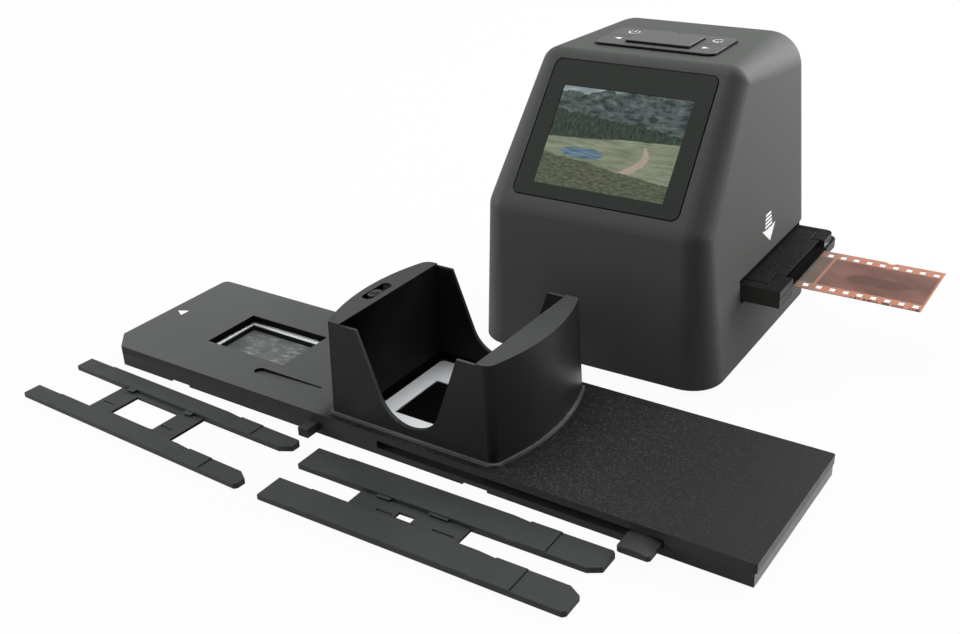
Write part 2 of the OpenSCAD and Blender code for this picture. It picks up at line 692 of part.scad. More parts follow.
// ---- slide tray ----
module tray_outline(h) difference() {
    block([tray_l, tray_w, h]);
    translate([0, 0, -over]) {
        mirror([1, 0, 0]) corner_cut(tray_l / 2, tray_w / 2, tray_r, h + 2 * over);
        mirrored([0, 1, 0]) corner_cut(tray_l / 2, tray_w / 2, tray_end_r, h + 2 * over);
    }
    // cut corner at the front of the insertion end
    translate([-tray_l / 2, front_v, -over]) rotate([0, 0, -47]) block([30, 10.3, h + 2 * over]);
}
module slide_channel(z0, z1) translate([(-tray_l / 2 - over + channel_end) / 2, channel_v, z0])
    block([channel_end + tray_l / 2 + over, channel_w, z1 - z0]);
module pusher_slot() translate([tab_u - feed_travel - slot_rest - slot_play, front_v - over, channel_z])
    cube([feed_travel + slot_rest + tab_l + 2 * slot_play, channel_v - channel_w / 2 - front_v + 2 * over,
        channel_top - channel_z]);
module tray_screw_places() for (u = tray_screw_u, s = [-1, 1])
    if (s > 0 || u < tab_u - feed_travel - 4 || u > tab_u + tab_l + 4)
        translate([u, s * (tray_w / 2 - 2.6), 0]) children();
module tray_base() at_tray() color([0.08, 0.08, 0.085]) difference() {
    union() {
        tray_outline(tray_split);
        // stop that meets the scanner's side when the tray is in
        translate([stop_u + 2, front_v - 2.5, 1.5]) block([4, 7, tray_split - 1.5]);
    }
    slide_channel(channel_z, tray_split + over);
    pusher_slot();
    translate([tray_l / 2, 0, -over]) block([2 * base_short, tray_w + 2, tray_split + 2 * over]);
    translate([window_u, channel_v, -over]) block([slide_hole[0] + 1, slide_hole[1] + 1, 9]);
    tray_screw_places() {
        translate([0, 0, -over]) cylinder(r = tray_screw_r + 0.3, h = tray_split + 2 * over, $fn = 24);
        translate([0, 0, -over]) cylinder(r = tray_head_r + 0.3, h = over + tray_head_t + 0.1, $fn = 24);
    }
    for (u = notch_u) translate([u, front_v, -over]) block([notch[0], 3, over + notch[1]]);
}
module tray_cover() at_tray() color([0.22, 0.23, 0.23]) difference() {
    translate([0, 0, tray_split]) tray_outline(tray_h - tray_split);
    slide_channel(tray_split - over, channel_top);
    pusher_slot();
    translate([window_u, channel_v + 1, tray_split - over]) block([window_l, window_w, 9]);
    translate([mag_u, channel_v, tray_split - over]) block([mag_in_l, mag_in_w, 9]);
    // long finger groove that runs out to the right
    translate([window_u + 14.2, front_v + 12, tray_h - 1.2]) {
        cylinder(r = groove_r, h = 3, $fn = 32);
        rotate([0, -1.6, 0]) translate([0, -groove_r, 0]) cube([groove_l, 2 * groove_r, 3]);
    }
    tray_screw_places() translate([0, 0, tray_split - over])
        cylinder(r = tray_screw_r + screw_bite, h = over + 2, $fn = 24);
}
module tray_screws() at_tray() color([0.55, 0.55, 0.57]) tray_screw_places()
    translate([0, 0, 0.1]) {
        cylinder(r = tray_head_r, h = tray_head_t, $fn = 24);
        cylinder(r = tray_screw_r, h = tray_screw_l, $fn = 24);
    }

// Crescent-walled form of the slide magazine: two leaning arcs and two leaning flats
module mag_form(h, grow, lean) intersection() {
    translate([-mag_l, 0, 0]) rotate([90, 0, 90]) linear_extrude(2 * mag_l) polygon([
        [-mag_w / 2 - grow, 0], [mag_w / 2 + grow, 0],
        [mag_w / 2 + grow - lean / 2, h], [-mag_w / 2 - grow + lean / 2, h]]);
    translate([mag_l / 2 - arc_r, 0, 0]) cylinder(r1 = arc_r + grow, r2 = arc_r + grow - lean, h = h);
    translate([arc_r - mag_l / 2, 0, 0]) cylinder(r1 = arc_r + grow, r2 = arc_r + grow - lean, h = h);
}
// Where a line from the cut's top corner touches its round bottom
finger_span = norm([finger_half, mag_h - finger_z]);
finger_angle = atan2(mag_h - finger_z, finger_half) - acos(finger_r / finger_span);
finger_touch = [finger_r * cos(finger_angle), finger_z + finger_r * sin(finger_angle)];
module finger_cut() translate([0, mag_w, 0]) rotate([90, 0, 0]) {
    translate([0, finger_z, 0]) cylinder(r = finger_r, h = 2 * mag_w);
    linear_extrude(2 * mag_w) polygon([[-finger_touch[0], finger_touch[1]], finger_touch,
        [finger_half, mag_h], [finger_half, mag_h + over], [-finger_half, mag_h + over],
        [-finger_half, mag_h]]);
}
module magazine() at_tray() color([0.06, 0.06, 0.065]) translate([mag_u, channel_v, tray_h])
    difference() {
        union() {
            mag_form(mag_h, 0, mag_lean);
            mag_form(mag_foot, mag_foot_out, 0);
        }
        translate([0, 0, -over]) block([mag_in_l, mag_in_w, mag_h + 2 * over]);
        finger_cut();
        // panels stand a little lower than the side walls
        translate([0, 0, mag_h - panel_drop]) block([mag_in_l, mag_w + 9, 9]);
        translate([lock_u - mag_u, lock_v - channel_v, mag_h - lock_slot[2]])
            rounded_block(lock_slot[0], lock_slot[1], 9, 2);
    }
module lock_slider() at_tray() color([0.09, 0.09, 0.09])
    translate([lock_u, lock_v - lock_rest, tray_h + mag_h - lock_slot[2] + 0.1]) {
        rounded_block(lock_size[0], lock_size[1], lock_slot[2] - 0.2, 1.6);
        block([2.4, 1.4, lock_slot[2] + 0.3]);
    }
module slide_pusher() at_tray() color([0.1, 0.1, 0.1]) {
    translate([pusher_u, channel_v - slide_size / 2, slide_z]) cube([pusher_l, slide_size, pusher_t]);
    translate([tab_u, front_v - 0.5, slide_z])
        cube([tab_l, channel_v - slide_size / 2 - front_v + 1, pusher_t]);
    // tab with a crowned top
    crown_r = (pow(tab_l / 2, 2) + pow(tab_crown, 2)) / (2 * tab_crown);
    translate([tab_u + tab_l / 2, front_v - tab_out / 2 + 0.5, slide_z + tab_low]) intersection() {
        rounded_block(tab_l, tab_out + 1, tab_t, 1.2);
        translate([0, tab_out, tab_t - crown_r]) rotate([90, 0, 0])
            cylinder(r = crown_r, h = 2 * tab_out, $fn = 96);
    }
}
module slide_mount(u) at_tray() color([0.93, 0.93, 0.92]) translate([u, channel_v, slide_z]) difference() {
    rounded_block(slide_size, slide_size, slide_t, 2);
    translate([0, 0, -over]) block([slide_hole[0], slide_hole[1], 9]);
    translate([0, 0, (slide_t - film_t) / 2 - 0.05]) block([film_chip[0], film_chip[1], film_t + 0.1]);
}
module slide_film(u) at_tray() color([0.12, 0.13, 0.15]) translate([u, channel_v, slide_z])
    translate([0, 0, (slide_t - film_t) / 2]) block([film_chip[0] - 0.4, film_chip[1] - 0.4, film_t]);
module gate_slide_mount() slide_mount(window_u);
module gate_slide_film() slide_film(window_u);
module stack_slide_mount() slide_mount(mag_u);
module stack_slide_film() slide_film(mag_u);

// ---- film adapters ----
// The rear rail: square left end, chamfered right end
module adapter_rail(inner) linear_extrude(adapter_t) polygon([
    [-adapter_l / 2, adapter_w / 2], [-adapter_l / 2, inner],
    [adapter_l / 2 - rail_nose[0], inner], [adapter_l / 2, inner + rail_nose[1]],
    [adapter_l / 2, adapter_w / 2 - 1], [adapter_l / 2 - 1, adapter_w / 2]]);
// Side view of the rails: low ends, and a dip that a catch in the slot drops into
module rail_profile() translate([-adapter_l / 2, adapter_w, 0]) rotate([90, 0, 0])
    linear_extrude(2 * adapter_w) polygon(concat([[adapter_l, 0], [0, 0]],
        [for (p = rail_top) [p[0], adapter_t - p[1]]]));
// bed: [middle, length]; nibs over the film: [from, to, side, reach]; slits: [from, to, v]
module adapter(film, bed, window, nibs, slits) difference() {
    inner = film / 2 + film_play;
    union() {
        intersection() {
            mirrored([0, 1, 0]) adapter_rail(inner);
            rail_profile();
        }
        translate([bed[0], 0, 0]) block([bed[1], 2 * inner + 4, bed_t]);
        for (n = nibs) translate([(n[0] + n[1]) / 2, n[2] * inner, bed_t + film_guide])
            block([n[1] - n[0], 2 * n[3], nib_t]);
    }
    translate([window[0], window[1], -over]) block([window[2], window[3], 9]);
    for (t = slits) translate([(t[0] + t[1]) / 2, t[2], -over]) block([t[1] - t[0], slit_w, 9]);
}
module wide_adapter() at_scanner() color([0.16, 0.17, 0.17]) translate(wide_place)
    rotate([0, 0, wide_turn]) adapter(wide_film, wide_bed, [-6.4, 0, 21.3, 11.6],
        [[6, 9.6, 1, 1.6], [-23.5, -20, 1, 1.6]], [[-25.2, -20, -2], [5, 10.4, -2.4]]);
module narrow_adapter() at_scanner() color([0.16, 0.17, 0.17]) translate(narrow_place)
    rotate([0, 0, narrow_turn]) adapter(narrow_film, narrow_bed, [-8.1, -1, 5.8, 3.4],
        [[-21.5, -16.4, 1, 1], [-2.4, 4.4, 1, 0.8], [-17.4, -3.7, -1, 1.3]],
        [[-18, -12, -1.4], [2.2, 9.7, -1.4]]);

housing();
base_plate();
rubber_feet();
base_screws();
screen_panel();
screen_pane();
lcd_module();
screen_ribbon();
power_key();
left_key();
right_key();
turn_key();
scan_key();
key_domes();
key_board();
status_light();
board_screws();
film_gate();
backlight_board();
backlight_leds();
light_box();
diffuser();
lens_tower();
lens_barrel();
lens_glass();
image_sensor();
main_board();
usb_socket();
card_socket();
holder_base();
holder_lid();
film_strip();
tray_base();
tray_cover();
tray_screws();
magazine();
lock_slider();
slide_pusher();
gate_slide_mount();
gate_slide_film();
stack_slide_mount();
stack_slide_film();
wide_adapter();
narrow_adapter();
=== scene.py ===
"""Dresses the film and slide scanner set: edges, finishes, printed marks, picture and stage."""

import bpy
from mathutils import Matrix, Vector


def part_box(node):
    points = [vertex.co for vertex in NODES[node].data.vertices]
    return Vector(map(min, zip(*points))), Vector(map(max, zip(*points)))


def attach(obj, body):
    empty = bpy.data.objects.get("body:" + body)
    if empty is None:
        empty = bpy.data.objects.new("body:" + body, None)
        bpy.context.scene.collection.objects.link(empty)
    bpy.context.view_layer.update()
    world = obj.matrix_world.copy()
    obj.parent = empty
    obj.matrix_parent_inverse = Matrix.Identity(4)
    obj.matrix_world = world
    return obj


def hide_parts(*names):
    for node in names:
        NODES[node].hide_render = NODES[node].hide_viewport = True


bl_info = {
    "name": "Film and slide scanner set",
    "version": (1, 0, 0),
    "blender": (4, 5, 0),
    "location": "View3D > Sidebar > Film scanner",
    "description": "Builds the visible pieces and finishes of a film and slide scanner set",
    "category": "Add Mesh",
}

import math

import bmesh
import bpy
from bpy.props import FloatProperty, FloatVectorProperty, PointerProperty
from mathutils import Matrix, Vector
from mathutils.bvhtree import BVHTree

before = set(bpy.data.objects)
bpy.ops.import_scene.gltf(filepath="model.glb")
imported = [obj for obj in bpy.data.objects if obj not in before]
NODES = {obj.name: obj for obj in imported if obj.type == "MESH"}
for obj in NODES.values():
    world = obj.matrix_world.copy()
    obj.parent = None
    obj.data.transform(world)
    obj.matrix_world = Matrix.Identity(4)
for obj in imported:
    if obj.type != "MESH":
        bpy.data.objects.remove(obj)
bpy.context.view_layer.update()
MM = 0.001

# Sizes and places shared with the solids, in millimetres; angles in radians. What has GRAIN or
# GATE in its name lies in the tray's own frame, which starts at the tray's middle
BODY_DEPTH = 102.8
FRONT_HEIGHT = 57.0
FACE_ANGLE = math.radians(50.8)
PICTURE_LOW = 10.1
PICTURE_SIZE = (49.0, 36.7)
TRAY_FROM_SCANNER = (-30.9, -102.4)
TRAY_TURN = math.radians(-1.2)
TRAY_SIZE = (254.0, 61.4)
TRAY_SPLIT = 4.6
TRAY_TOP = 7.7
GRAIN_START = (-27, -20)
GATE_MIDDLE = (-75.9, -0.5)
SLIDE_OPENING = (15.2, 9.3)
STRIP_PITCH = 38.0
FILM_FRAME = (18.35, 11.9)

# The magazine, in millimetres from its middle: what its side walls curve about and how far they
# lean, from where on a face is part of them or a corner outermost, the inner well's half sizes,
# the foot's height and the least area of a large flat face
SIDE_CENTRE = 37.3
SIDE_LEAN = 0.035
SIDE_WALL_FROM = 31
WALLS_FROM_Z = -15.5
CORNER_FROM = (28.5, 26)
WELL = (26.2, 25.9)
FOOT_HEIGHT = 0.95
LARGE_FACE = 50

# Each solid that gets softer edges: its piece's name, the body that carries it and its slot
DRESSED = {
    "housing": ("housing_shell", "scanner_set", "body_plastic"),
    "base_plate": ("bottom_cover", "scanner_set", "base_plastic"),
    "rubber_feet": ("feet", "scanner_set", "foot_rubber"),
    "screen_panel": ("panel_frame", "scanner_set", "panel_gloss"),
    "screen_pane": ("picture_pane", "scanner_set", "screen_glass"),
    "power_key": ("power_button", "power_key", "key_plastic"),
    "left_key": ("left_button", "left_key", "key_plastic"),
    "right_key": ("right_button", "right_key", "key_plastic"),
    "turn_key": ("turn_button", "turn_key", "key_plastic"),
    "scan_key": ("scan_button", "scan_key", "scan_key_plastic"),
    "holder_base": ("holder_lower", "holder", "holder_plastic"),
    "holder_lid": ("holder_upper", "holder", "holder_plastic"),
    "tray_base": ("tray_lower", "scanner_set", "tray_base_plastic"),
    "tray_cover": ("tray_upper", "scanner_set", "tray_cover_plastic"),
    "magazine": ("slide_magazine", "scanner_set", "magazine_plastic"),
    "lock_slider": ("lock_knob", "lock", "slider_plastic"),
    "slide_pusher": ("pusher_blade", "pusher", "slider_plastic"),
    "gate_slide_mount": ("gate_slide_card", "gate_slide", "slide_card"),
    "stack_slide_mount": ("stack_slide_card", "stack_slide", "slide_card"),
    "wide_adapter": ("wide_film_adapter", "scanner_set", "adapter_plastic"),
    "narrow_adapter": ("narrow_film_adapter", "scanner_set", "adapter_plastic"),
}

# Bottom and top of printed ink over the surface under it, in millimetres
INK = (0.005, 0.03)
THICK_INK = (0.01, 0.04)
ARC_STEPS = 24

# Signs on the corner keys, in millimetres from the middle of the scanner's base: the middle,
# radius, width, start and turn of a curved line, if there is one, and a flat outline
KEY_SIGNS = {
    "power": (
        ((-15.5, 14.9), 2.0, 0.34, 120, 300),
        [(-15.67, 14.8), (-15.33, 14.8), (-15.33, 17.3), (-15.67, 17.3)],
    ),
    "left": (None, [(-18.3, 4.6), (-15.9, 3.5), (-15.9, 5.7)]),
    "right": (None, [(18.4, 3.6), (16.0, 2.5), (16.0, 4.7)]),
    "turn": (((17.4, 14.6), 1.9, 0.36, 60, 280), [(17.3, 11.9), (17.3, 13.6), (18.9, 12.9)]),
}

# The triangle on the tray, in the tray's own frame
FEED_TRIANGLE = [(-123.3, 0.9), (-119.6, -1.2), (-119.6, 3.0)]

# The side arrow, in millimetres back from the scanner's middle and up
ARROW_HEAD = [(7.0, 36.2), (12.4, 41.8), (9.4, 41.3), (2.2, 41.4), (-0.4, 41.9)]
ARROW_BARS = 4
BARS_FROM = 42.1
BAR_STEP = 1.4
BAR_TAPER = 0.3
BAR_HEIGHT = 0.8

# Two shades of each part of the lit picture
PICTURE = {
    "sky": ((0.30, 0.34, 0.34), (0.16, 0.21, 0.23)),
    "rock": ((0.018, 0.028, 0.027), (0.13, 0.16, 0.155)),
    "wood": ((0.008, 0.017, 0.012), (0.055, 0.078, 0.052)),
    "field": ((0.13, 0.155, 0.095), (0.26, 0.285, 0.205)),
    "near": ((0.035, 0.045, 0.025), (0.13, 0.14, 0.085)),
    "water": ((0.03, 0.09, 0.15), (0.15, 0.22, 0.27)),
    "gravel": ((0.26, 0.20, 0.15), (0.46, 0.38, 0.31)),
}

WHITE = (1, 1, 1, 1)

# Lamps: name, place, size and power
LAMPS = (
    ("right_softbox", (0.55, 1.00, 0.45), (1.0, 0.9), 31.0),
    ("top_softbox", (-0.10, 0.15, 1.10), (0.8, 0.8), 10.0),
    ("left_fill", (-1.1, -0.50, 0.30), (0.7, 0.6), 16.0),
)


def centre_of(node):
    low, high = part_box(node)
    return (low + high) / 2


# The middle of the scanner's base, read from its bottom cover
STAND = Vector((centre_of("base_plate").x, centre_of("base_plate").y, 0))
TRAY = STAND + Vector((*TRAY_FROM_SCANNER, 0)) * MM


def in_tray(point):
    """A point in the tray's own frame, in millimetres from its middle."""
    return Matrix.Rotation(-TRAY_TURN, 3, "Z") @ (Vector(point) - TRAY) / MM


# ---- shader nodes
def put(tree, kind, inputs=None, **settings):
    """Adds a shader node, sets its fields and links or sets its inputs."""
    made = tree.nodes.new("ShaderNode" + kind)
    for field, value in settings.items():
        setattr(made, field, value)
    for socket, value in (inputs or {}).items():
        if isinstance(value, bpy.types.NodeSocket):
            tree.links.new(value, made.inputs[socket])
        else:
            made.inputs[socket].default_value = value
    return made


def calc(tree, operation, first, second=0.0, third=0.0):
    inputs = {0: first, 1: second, 2: third}
    return put(tree, "Math", inputs, operation=operation).outputs[0]


def times(tree, first, second):
    return calc(tree, "MULTIPLY", first, second)


def less(tree, first, second):
    return calc(tree, "SUBTRACT", first, second)


def distance(tree, value, middle):
    return calc(tree, "ABSOLUTE", less(tree, value, middle))


def between(tree, value, low, high, to_low=0.0, to_high=1.0, smooth=False):
    """Maps a value from one range to another, clamped."""
    kind = "SMOOTHSTEP" if smooth else "LINEAR"
    inputs = {0: value, 1: low, 2: high, 3: to_low, 4: to_high}
    return put(tree, "MapRange", inputs, interpolation_type=kind).outputs[0]


def within(tree, aside, across, half, soft):
    """1 within a rectangle of the given half sizes, fading to 0 over the soft widths outside it."""
    one = between(tree, aside, half[0] + soft[0], half[0])
    other = between(tree, across, half[1] + soft[1], half[1])
    return times(tree, one, other)


def shade(tint, factor):
    """A colour made darker or lighter."""
    return tuple(min(1.0, channel * factor) for channel in tuple(tint)[:3])


def mix(tree, share, first, second):
    """Mixes two colours, each a socket or an RGB triple."""
    first, second = ((*one, 1) if isinstance(one, tuple) else one for one in (first, second))
    return put(tree, "Mix", {0: share, 6: first, 7: second}, data_type="RGBA").outputs[2]


def mottled(tree, pattern, low, high, tint, dark, light):
    """Goes from a darker to a lighter shade of a colour as a pattern rises from low to high."""
    return mix(tree, between(tree, pattern, low, high), shade(tint, dark), shade(tint, light))


def noise(tree, where, scale, detail=3.0, rough=0.5, distortion=0.0):
    inputs = {"Vector": where, "Scale": scale, "Detail": detail, "Roughness": rough}
    return put(tree, "TexNoise", {**inputs, "Distortion": distortion}).outputs[0]


def object_place(tree):
    return put(tree, "TexCoord").outputs["Object"]


def stretched(tree, place, scale, **more):
    """A place with its axes scaled apart, for a pattern that runs one way."""
    return put(tree, "Mapping", {"Vector": place, "Scale": scale, **more}).outputs[0]


def local_place(tree, location, rotation=(0, 0, 0), scale=(MM, MM, MM)):
    """Object coordinates seen from a turned frame, in its own unit."""
    inputs = {"Vector": object_place(tree), "Location": location, "Rotation": rotation}
    return put(tree, "Mapping", {**inputs, "Scale": scale}, vector_type="TEXTURE").outputs[0]


def tray_place(tree):
    return local_place(tree, TRAY, (0, 0, TRAY_TURN))


def apart(tree, place):
    """The three coordinates of a place."""
    return put(tree, "SeparateXYZ", {0: place}).outputs


# ---- finishes
def finish(name, **constants):
    """A new material with its shader's plain values set, and its tree and shader."""
    made = bpy.data.materials.new(name)
    made.use_nodes = True
    tree = made.node_tree
    shader = tree.nodes["Principled BSDF"]
    for socket, value in constants.items():
        shader.inputs[socket.replace("_", " ")].default_value = value
    return made, tree, shader


def dress(tree, shader, tone, worn=None, height=None, depth=0.0):
    """Feeds a shader's colour, roughness and relief; depth is in millimetres."""
    tree.links.new(tone, shader.inputs["Base Color"])
    if worn is not None:
        tree.links.new(worn, shader.inputs["Roughness"])
    if height is not None:
        relief = put(tree, "Bump", {"Height": height, "Distance": depth * MM, "Strength": 1.0})
        tree.links.new(relief.outputs[0], shader.inputs["Normal"])


def moulded(
    name, tint, rough=0.55, grain=0.5, depth=0.02, spread=0.12, gloss=0.2, rubbed=0.06, fleck=1.5
):
    """Spark-eroded moulded plastic: fine grain, slight cloudiness and faint rubbed patches."""
    made, tree, shader = finish(name, IOR=1.46, Specular_IOR_Level=gloss)
    place = object_place(tree)
    cloud = noise(tree, place, 28, 4)
    fine = noise(tree, place, 1 / (grain * MM), 2, 0.7)
    rub = noise(tree, place, 160, 5, 0.65)
    tone = mottled(tree, cloud, 0.3, 0.7, tint, 1 - spread, 1 + spread)
    tone = mix(tree, between(tree, fine, 0.35, 0.75, 0, 0.35), tone, shade(tint, fleck))
    worn = between(tree, rub, 0.35, 0.75, rough + rubbed, rough - rubbed)
    dress(tree, shader, tone, worn, fine, depth)
    return made


def polished(name, tint, rough):
    """Glossy moulded plastic with hair marks and a very slight ripple."""
    made, tree, shader = finish(name, IOR=1.5, Specular_IOR_Level=0.5)
    place = object_place(tree)
    ripple = noise(tree, place, 90, 2)
    hair = noise(tree, stretched(tree, place, (4000, 180, 180), Rotation=(0, 0, 0.5)), 1, 1)
    tone = mottled(tree, ripple, 0.3, 0.7, tint, 0.92, 1.1)
    worn = between(tree, hair, 0.55, 0.8, rough, rough + 0.1)
    dress(tree, shader, tone, worn, ripple, 0.004)
    return made


def rubber(name, tint):
    """Matt rubber with dust in its surface."""
    made, tree, shader = finish(name, Specular_IOR_Level=0.3)
    dust = noise(tree, object_place(tree), 420, 5, 0.7)
    tone = mottled(tree, dust, 0.5, 0.8, tint, 1, 1.9)
    dress(tree, shader, tone, between(tree, dust, 0.3, 0.8, 0.75, 0.95), dust, 0.03)
    return made


def metal(name, tint, rough=0.32):
    """Rolled or plated metal with fine drawn lines."""
    made, tree, shader = finish(name, Metallic=1.0)
    lines = noise(tree, stretched(tree, object_place(tree), (60, 60, 3000)), 1, 4, 0.6)
    tone = mix(tree, lines, shade(tint, 0.85), shade(tint, 1.12))
    worn = between(tree, lines, 0.3, 0.7, rough - 0.07, rough + 0.1)
    dress(tree, shader, tone, worn, lines, 0.003)
    return made


def circuit(name, tint, copper=(0.10, 0.33, 0.14)):
    """Solder mask over copper tracks, with tinned pads on a grid."""
    made, tree, shader = finish(name, Coat_Weight=0.4, Coat_Roughness=0.2)
    place = object_place(tree)
    lines = {"Scale": 260, "Mortar Size": 0.03, "Brick Width": 1.7, "Row Height": 0.3}
    tracks = put(tree, "TexBrick", {"Vector": place, **lines}).outputs["Fac"]
    pads = put(tree, "TexVoronoi", {"Vector": place, "Scale": 330, "Randomness": 0.35})
    tone = mix(tree, tracks, tint, copper)
    pad = calc(tree, "LESS_THAN", pads.outputs["Distance"], 0.16)
    tone = mix(tree, pad, tone, (0.62, 0.6, 0.52))
    tree.links.new(times(tree, pad, 0.8), shader.inputs["Metallic"])
    dress(tree, shader, tone, between(tree, pad, 0, 1, 0.42, 0.28), tracks, 0.03)
    return made


def milky(name, tint, glow=0.0):
    """Diffusing plastic or phosphor resin: soft inside scatter, faint mottling."""
    inside = {"Subsurface_Weight": 0.25, "Subsurface_Scale": 0.004}
    made, tree, shader = finish(name, Roughness=0.35, **inside)
    mottle = noise(tree, object_place(tree), 500, 3)
    tone = mix(tree, mottle, shade(tint, 0.94), shade(tint, 1.03))
    if glow:
        tree.links.new(tone, shader.inputs["Emission Color"])
        shader.inputs["Emission Strength"].default_value = glow
    dress(tree, shader, tone, height=mottle, depth=0.004)
    return made


def clear_glass(name, tint):
    """Coated optical glass with a faint film on it."""
    made, tree, shader = finish(
        name, Transmission_Weight=1.0, IOR=1.52, Coat_Weight=0.6, Coat_Roughness=0.03
    )
    film = noise(tree, object_place(tree), 160, 2)
    tone = mix(tree, film, shade(tint, 0.95), shade(tint, 1.05))
    dress(tree, shader, tone, between(tree, film, 0.3, 0.7, 0.01, 0.05))
    return made


def printed_ink(name, tint):
    """Screen-printed ink: near even, with pinholes and a slightly proud surface."""
    made, tree, shader = finish(name, Specular_IOR_Level=0.3)
    holes = noise(tree, object_place(tree), 5200, 2)
    tone = mottled(tree, holes, 0.32, 0.5, tint, 0.8, 1)
    dress(tree, shader, tone, between(tree, holes, 0.3, 0.7, 0.5, 0.66), holes, 0.004)
    return made


def card(name, tint):
    """White slide mount: matt moulded card with fibres and soft soiling."""
    made, tree, shader = finish(name, Specular_IOR_Level=0.25, Roughness=0.7)
    place = object_place(tree)
    fibre = noise(tree, stretched(tree, place, (900, 3800, 900)), 1, 3, 0.6)
    soil = noise(tree, place, 70, 4)
    tone = mottled(tree, soil, 0.35, 0.75, tint, 0.93, 1.03)
    tone = mix(tree, between(tree, fibre, 0.55, 0.8, 0, 0.25), tone, shade(tint, 0.8))
    dress(tree, shader, tone, height=fibre, depth=0.012)
    return made


def tray_skin(name, smooth_tint, grained_tint):
    """Tray cover: smooth and satin at the window's end, blacker and grained beyond, with painted
    glints.
    """
    made, tree, shader = finish(name, IOR=1.46, Specular_IOR_Level=0.07)
    place = object_place(tree)
    along = apart(tree, tray_place(tree))[0]
    grained = between(tree, along, *GRAIN_START, smooth=True)
    # from 55 to 115 mm along the tray the grain's relief, its painted glints and its darkening fade
    worn = between(tree, along, 55, 115, 0.6, 0.15)
    cloud = noise(tree, place, 22, 4)
    fine = noise(tree, place, 2600, 2, 0.6)
    grit = noise(tree, place, 1500, 2, 0.7)
    smooth = mottled(tree, cloud, 0.3, 0.7, smooth_tint, 0.97, 1.03)
    coarse = mottled(tree, cloud, 0.3, 0.7, grained_tint, 0.9, 1.1)
    ground = between(tree, worn, 0.15, 0.6, 0, 0.4)
    coarse = mix(tree, ground, coarse, shade(grained_tint, 0.5))
    # light flecks in the grain: painted glints
    painted_glints = times(tree, between(tree, grit, 0.5, 0.72), worn)
    coarse = mix(tree, painted_glints, coarse, shade(grained_tint, 5.5))
    tone = mix(tree, grained, smooth, coarse)
    height = times(tree, grit, calc(tree, "MULTIPLY_ADD", grained, worn, 0.06))
    height = calc(tree, "ADD", height, times(tree, fine, 0.2))
    dress(tree, shader, tone, between(tree, grained, 0, 1, 0.6, 0.52), height, 0.09)
    return made


def screen_picture(name, glow):
    """Lit picture: hills, a wood, a meadow with a pond and a winding path under a pale sky."""
    made, tree, shader = finish(
        name, Roughness=0.2, Specular_IOR_Level=0.2, Base_Color=(0.004, 0.004, 0.004, 1)
    )
    # across runs over the picture's width from its middle, up from 0 at its foot to 1
    back = PICTURE_LOW * math.cos(FACE_ANGLE) - BODY_DEPTH / 2
    foot = Vector((0, back, FRONT_HEIGHT + PICTURE_LOW * math.sin(FACE_ANGLE)))
    width, height = (side * MM for side in PICTURE_SIZE)
    place = local_place(tree, STAND + foot * MM, (FACE_ANGLE, 0, 0), (width, height, width))
    across, up, _ = apart(tree, place)

    def below(base, swing, scale, seed, lean):
        """1 below a noisy ridge line, 0 above it."""
        line = put(tree, "CombineXYZ", {0: across, 1: seed})
        wave = less(tree, noise(tree, line.outputs[0], scale, 5, 0.55), 0.5)
        ridge = calc(tree, "MULTIPLY_ADD", wave, swing, base)
        ridge = calc(tree, "MULTIPLY_ADD", across, lean, ridge)
        return between(tree, less(tree, ridge, up), -0.004, 0.006)

    def patch(scale, stretch, seed):
        moved = stretched(tree, place, stretch, Location=(seed, seed, 0))
        return noise(tree, moved, scale, 6, 0.62)

    def ground(part, scale, stretch, seed, low, high):
        share = between(tree, patch(scale, stretch, seed), low, high)
        return mix(tree, share, *PICTURE[part])

    sky = mix(tree, between(tree, up, 0.80, 1.0), *PICTURE["sky"])
    haze = between(tree, patch(4, (1, 3, 1), 3), 0.45, 0.7)
    sky = mix(tree, haze, sky, (0.38, 0.41, 0.41))
    rock = ground("rock", 11, (1, 1.5, 1), 7, 0.40, 0.68)
    wood = ground("wood", 20, (2.6, 0.8, 1), 11, 0.38, 0.72)
    field = ground("field", 5, (1, 5, 1), 5, 0.35, 0.7)
    near = ground("near", 24, (1, 2, 1), 9, 0.35, 0.7)
    scene = mix(tree, below(1.02, 0.46, 2.6, 1.7, 0.12), sky, rock)
    scene = mix(tree, below(0.70, 0.12, 14, 4.2, -0.12), scene, wood)
    scene = mix(tree, below(0.52, 0.05, 3, 8.1, 0.10), scene, field)
    # a pond with a ragged shore
    aside = calc(tree, "DIVIDE", calc(tree, "ADD", across, 0.20), 0.17)
    above = calc(tree, "DIVIDE", less(tree, up, 0.35), 0.055)
    reach = calc(tree, "ADD", times(tree, aside, aside), times(tree, above, above))
    reach = calc(tree, "ADD", reach, times(tree, patch(6, (1, 2, 1), 2), 0.5))
    water = ground("water", 7, (1, 9, 1), 6, 0.4, 0.6)
    scene = mix(tree, between(tree, reach, 1.28, 1.18), scene, water)
    # a path that widens towards the viewer
    depth = less(tree, 0.52, up)
    bend = times(tree, calc(tree, "SINE", times(tree, depth, 11.0)), 0.07)
    middle = calc(tree, "ADD", calc(tree, "MULTIPLY_ADD", depth, -0.25, 0.24), bend)
    off = distance(tree, across, middle)
    breadth = calc(tree, "MULTIPLY_ADD", depth, 0.13, 0.008)
    on_path = between(tree, less(tree, off, breadth), 0.004, -0.004)
    on_path = times(tree, on_path, calc(tree, "GREATER_THAN", depth, 0.03))
    gravel = mix(tree, patch(30, (1, 1, 1), 4), *PICTURE["gravel"])
    scene = mix(tree, on_path, scene, gravel)
    scene = mix(tree, below(0.24, 0.10, 6, 12.3, -0.14), scene, near)
    tree.links.new(scene, shader.inputs["Emission Color"])
    shader.inputs["Emission Strength"].default_value = glow
    return made


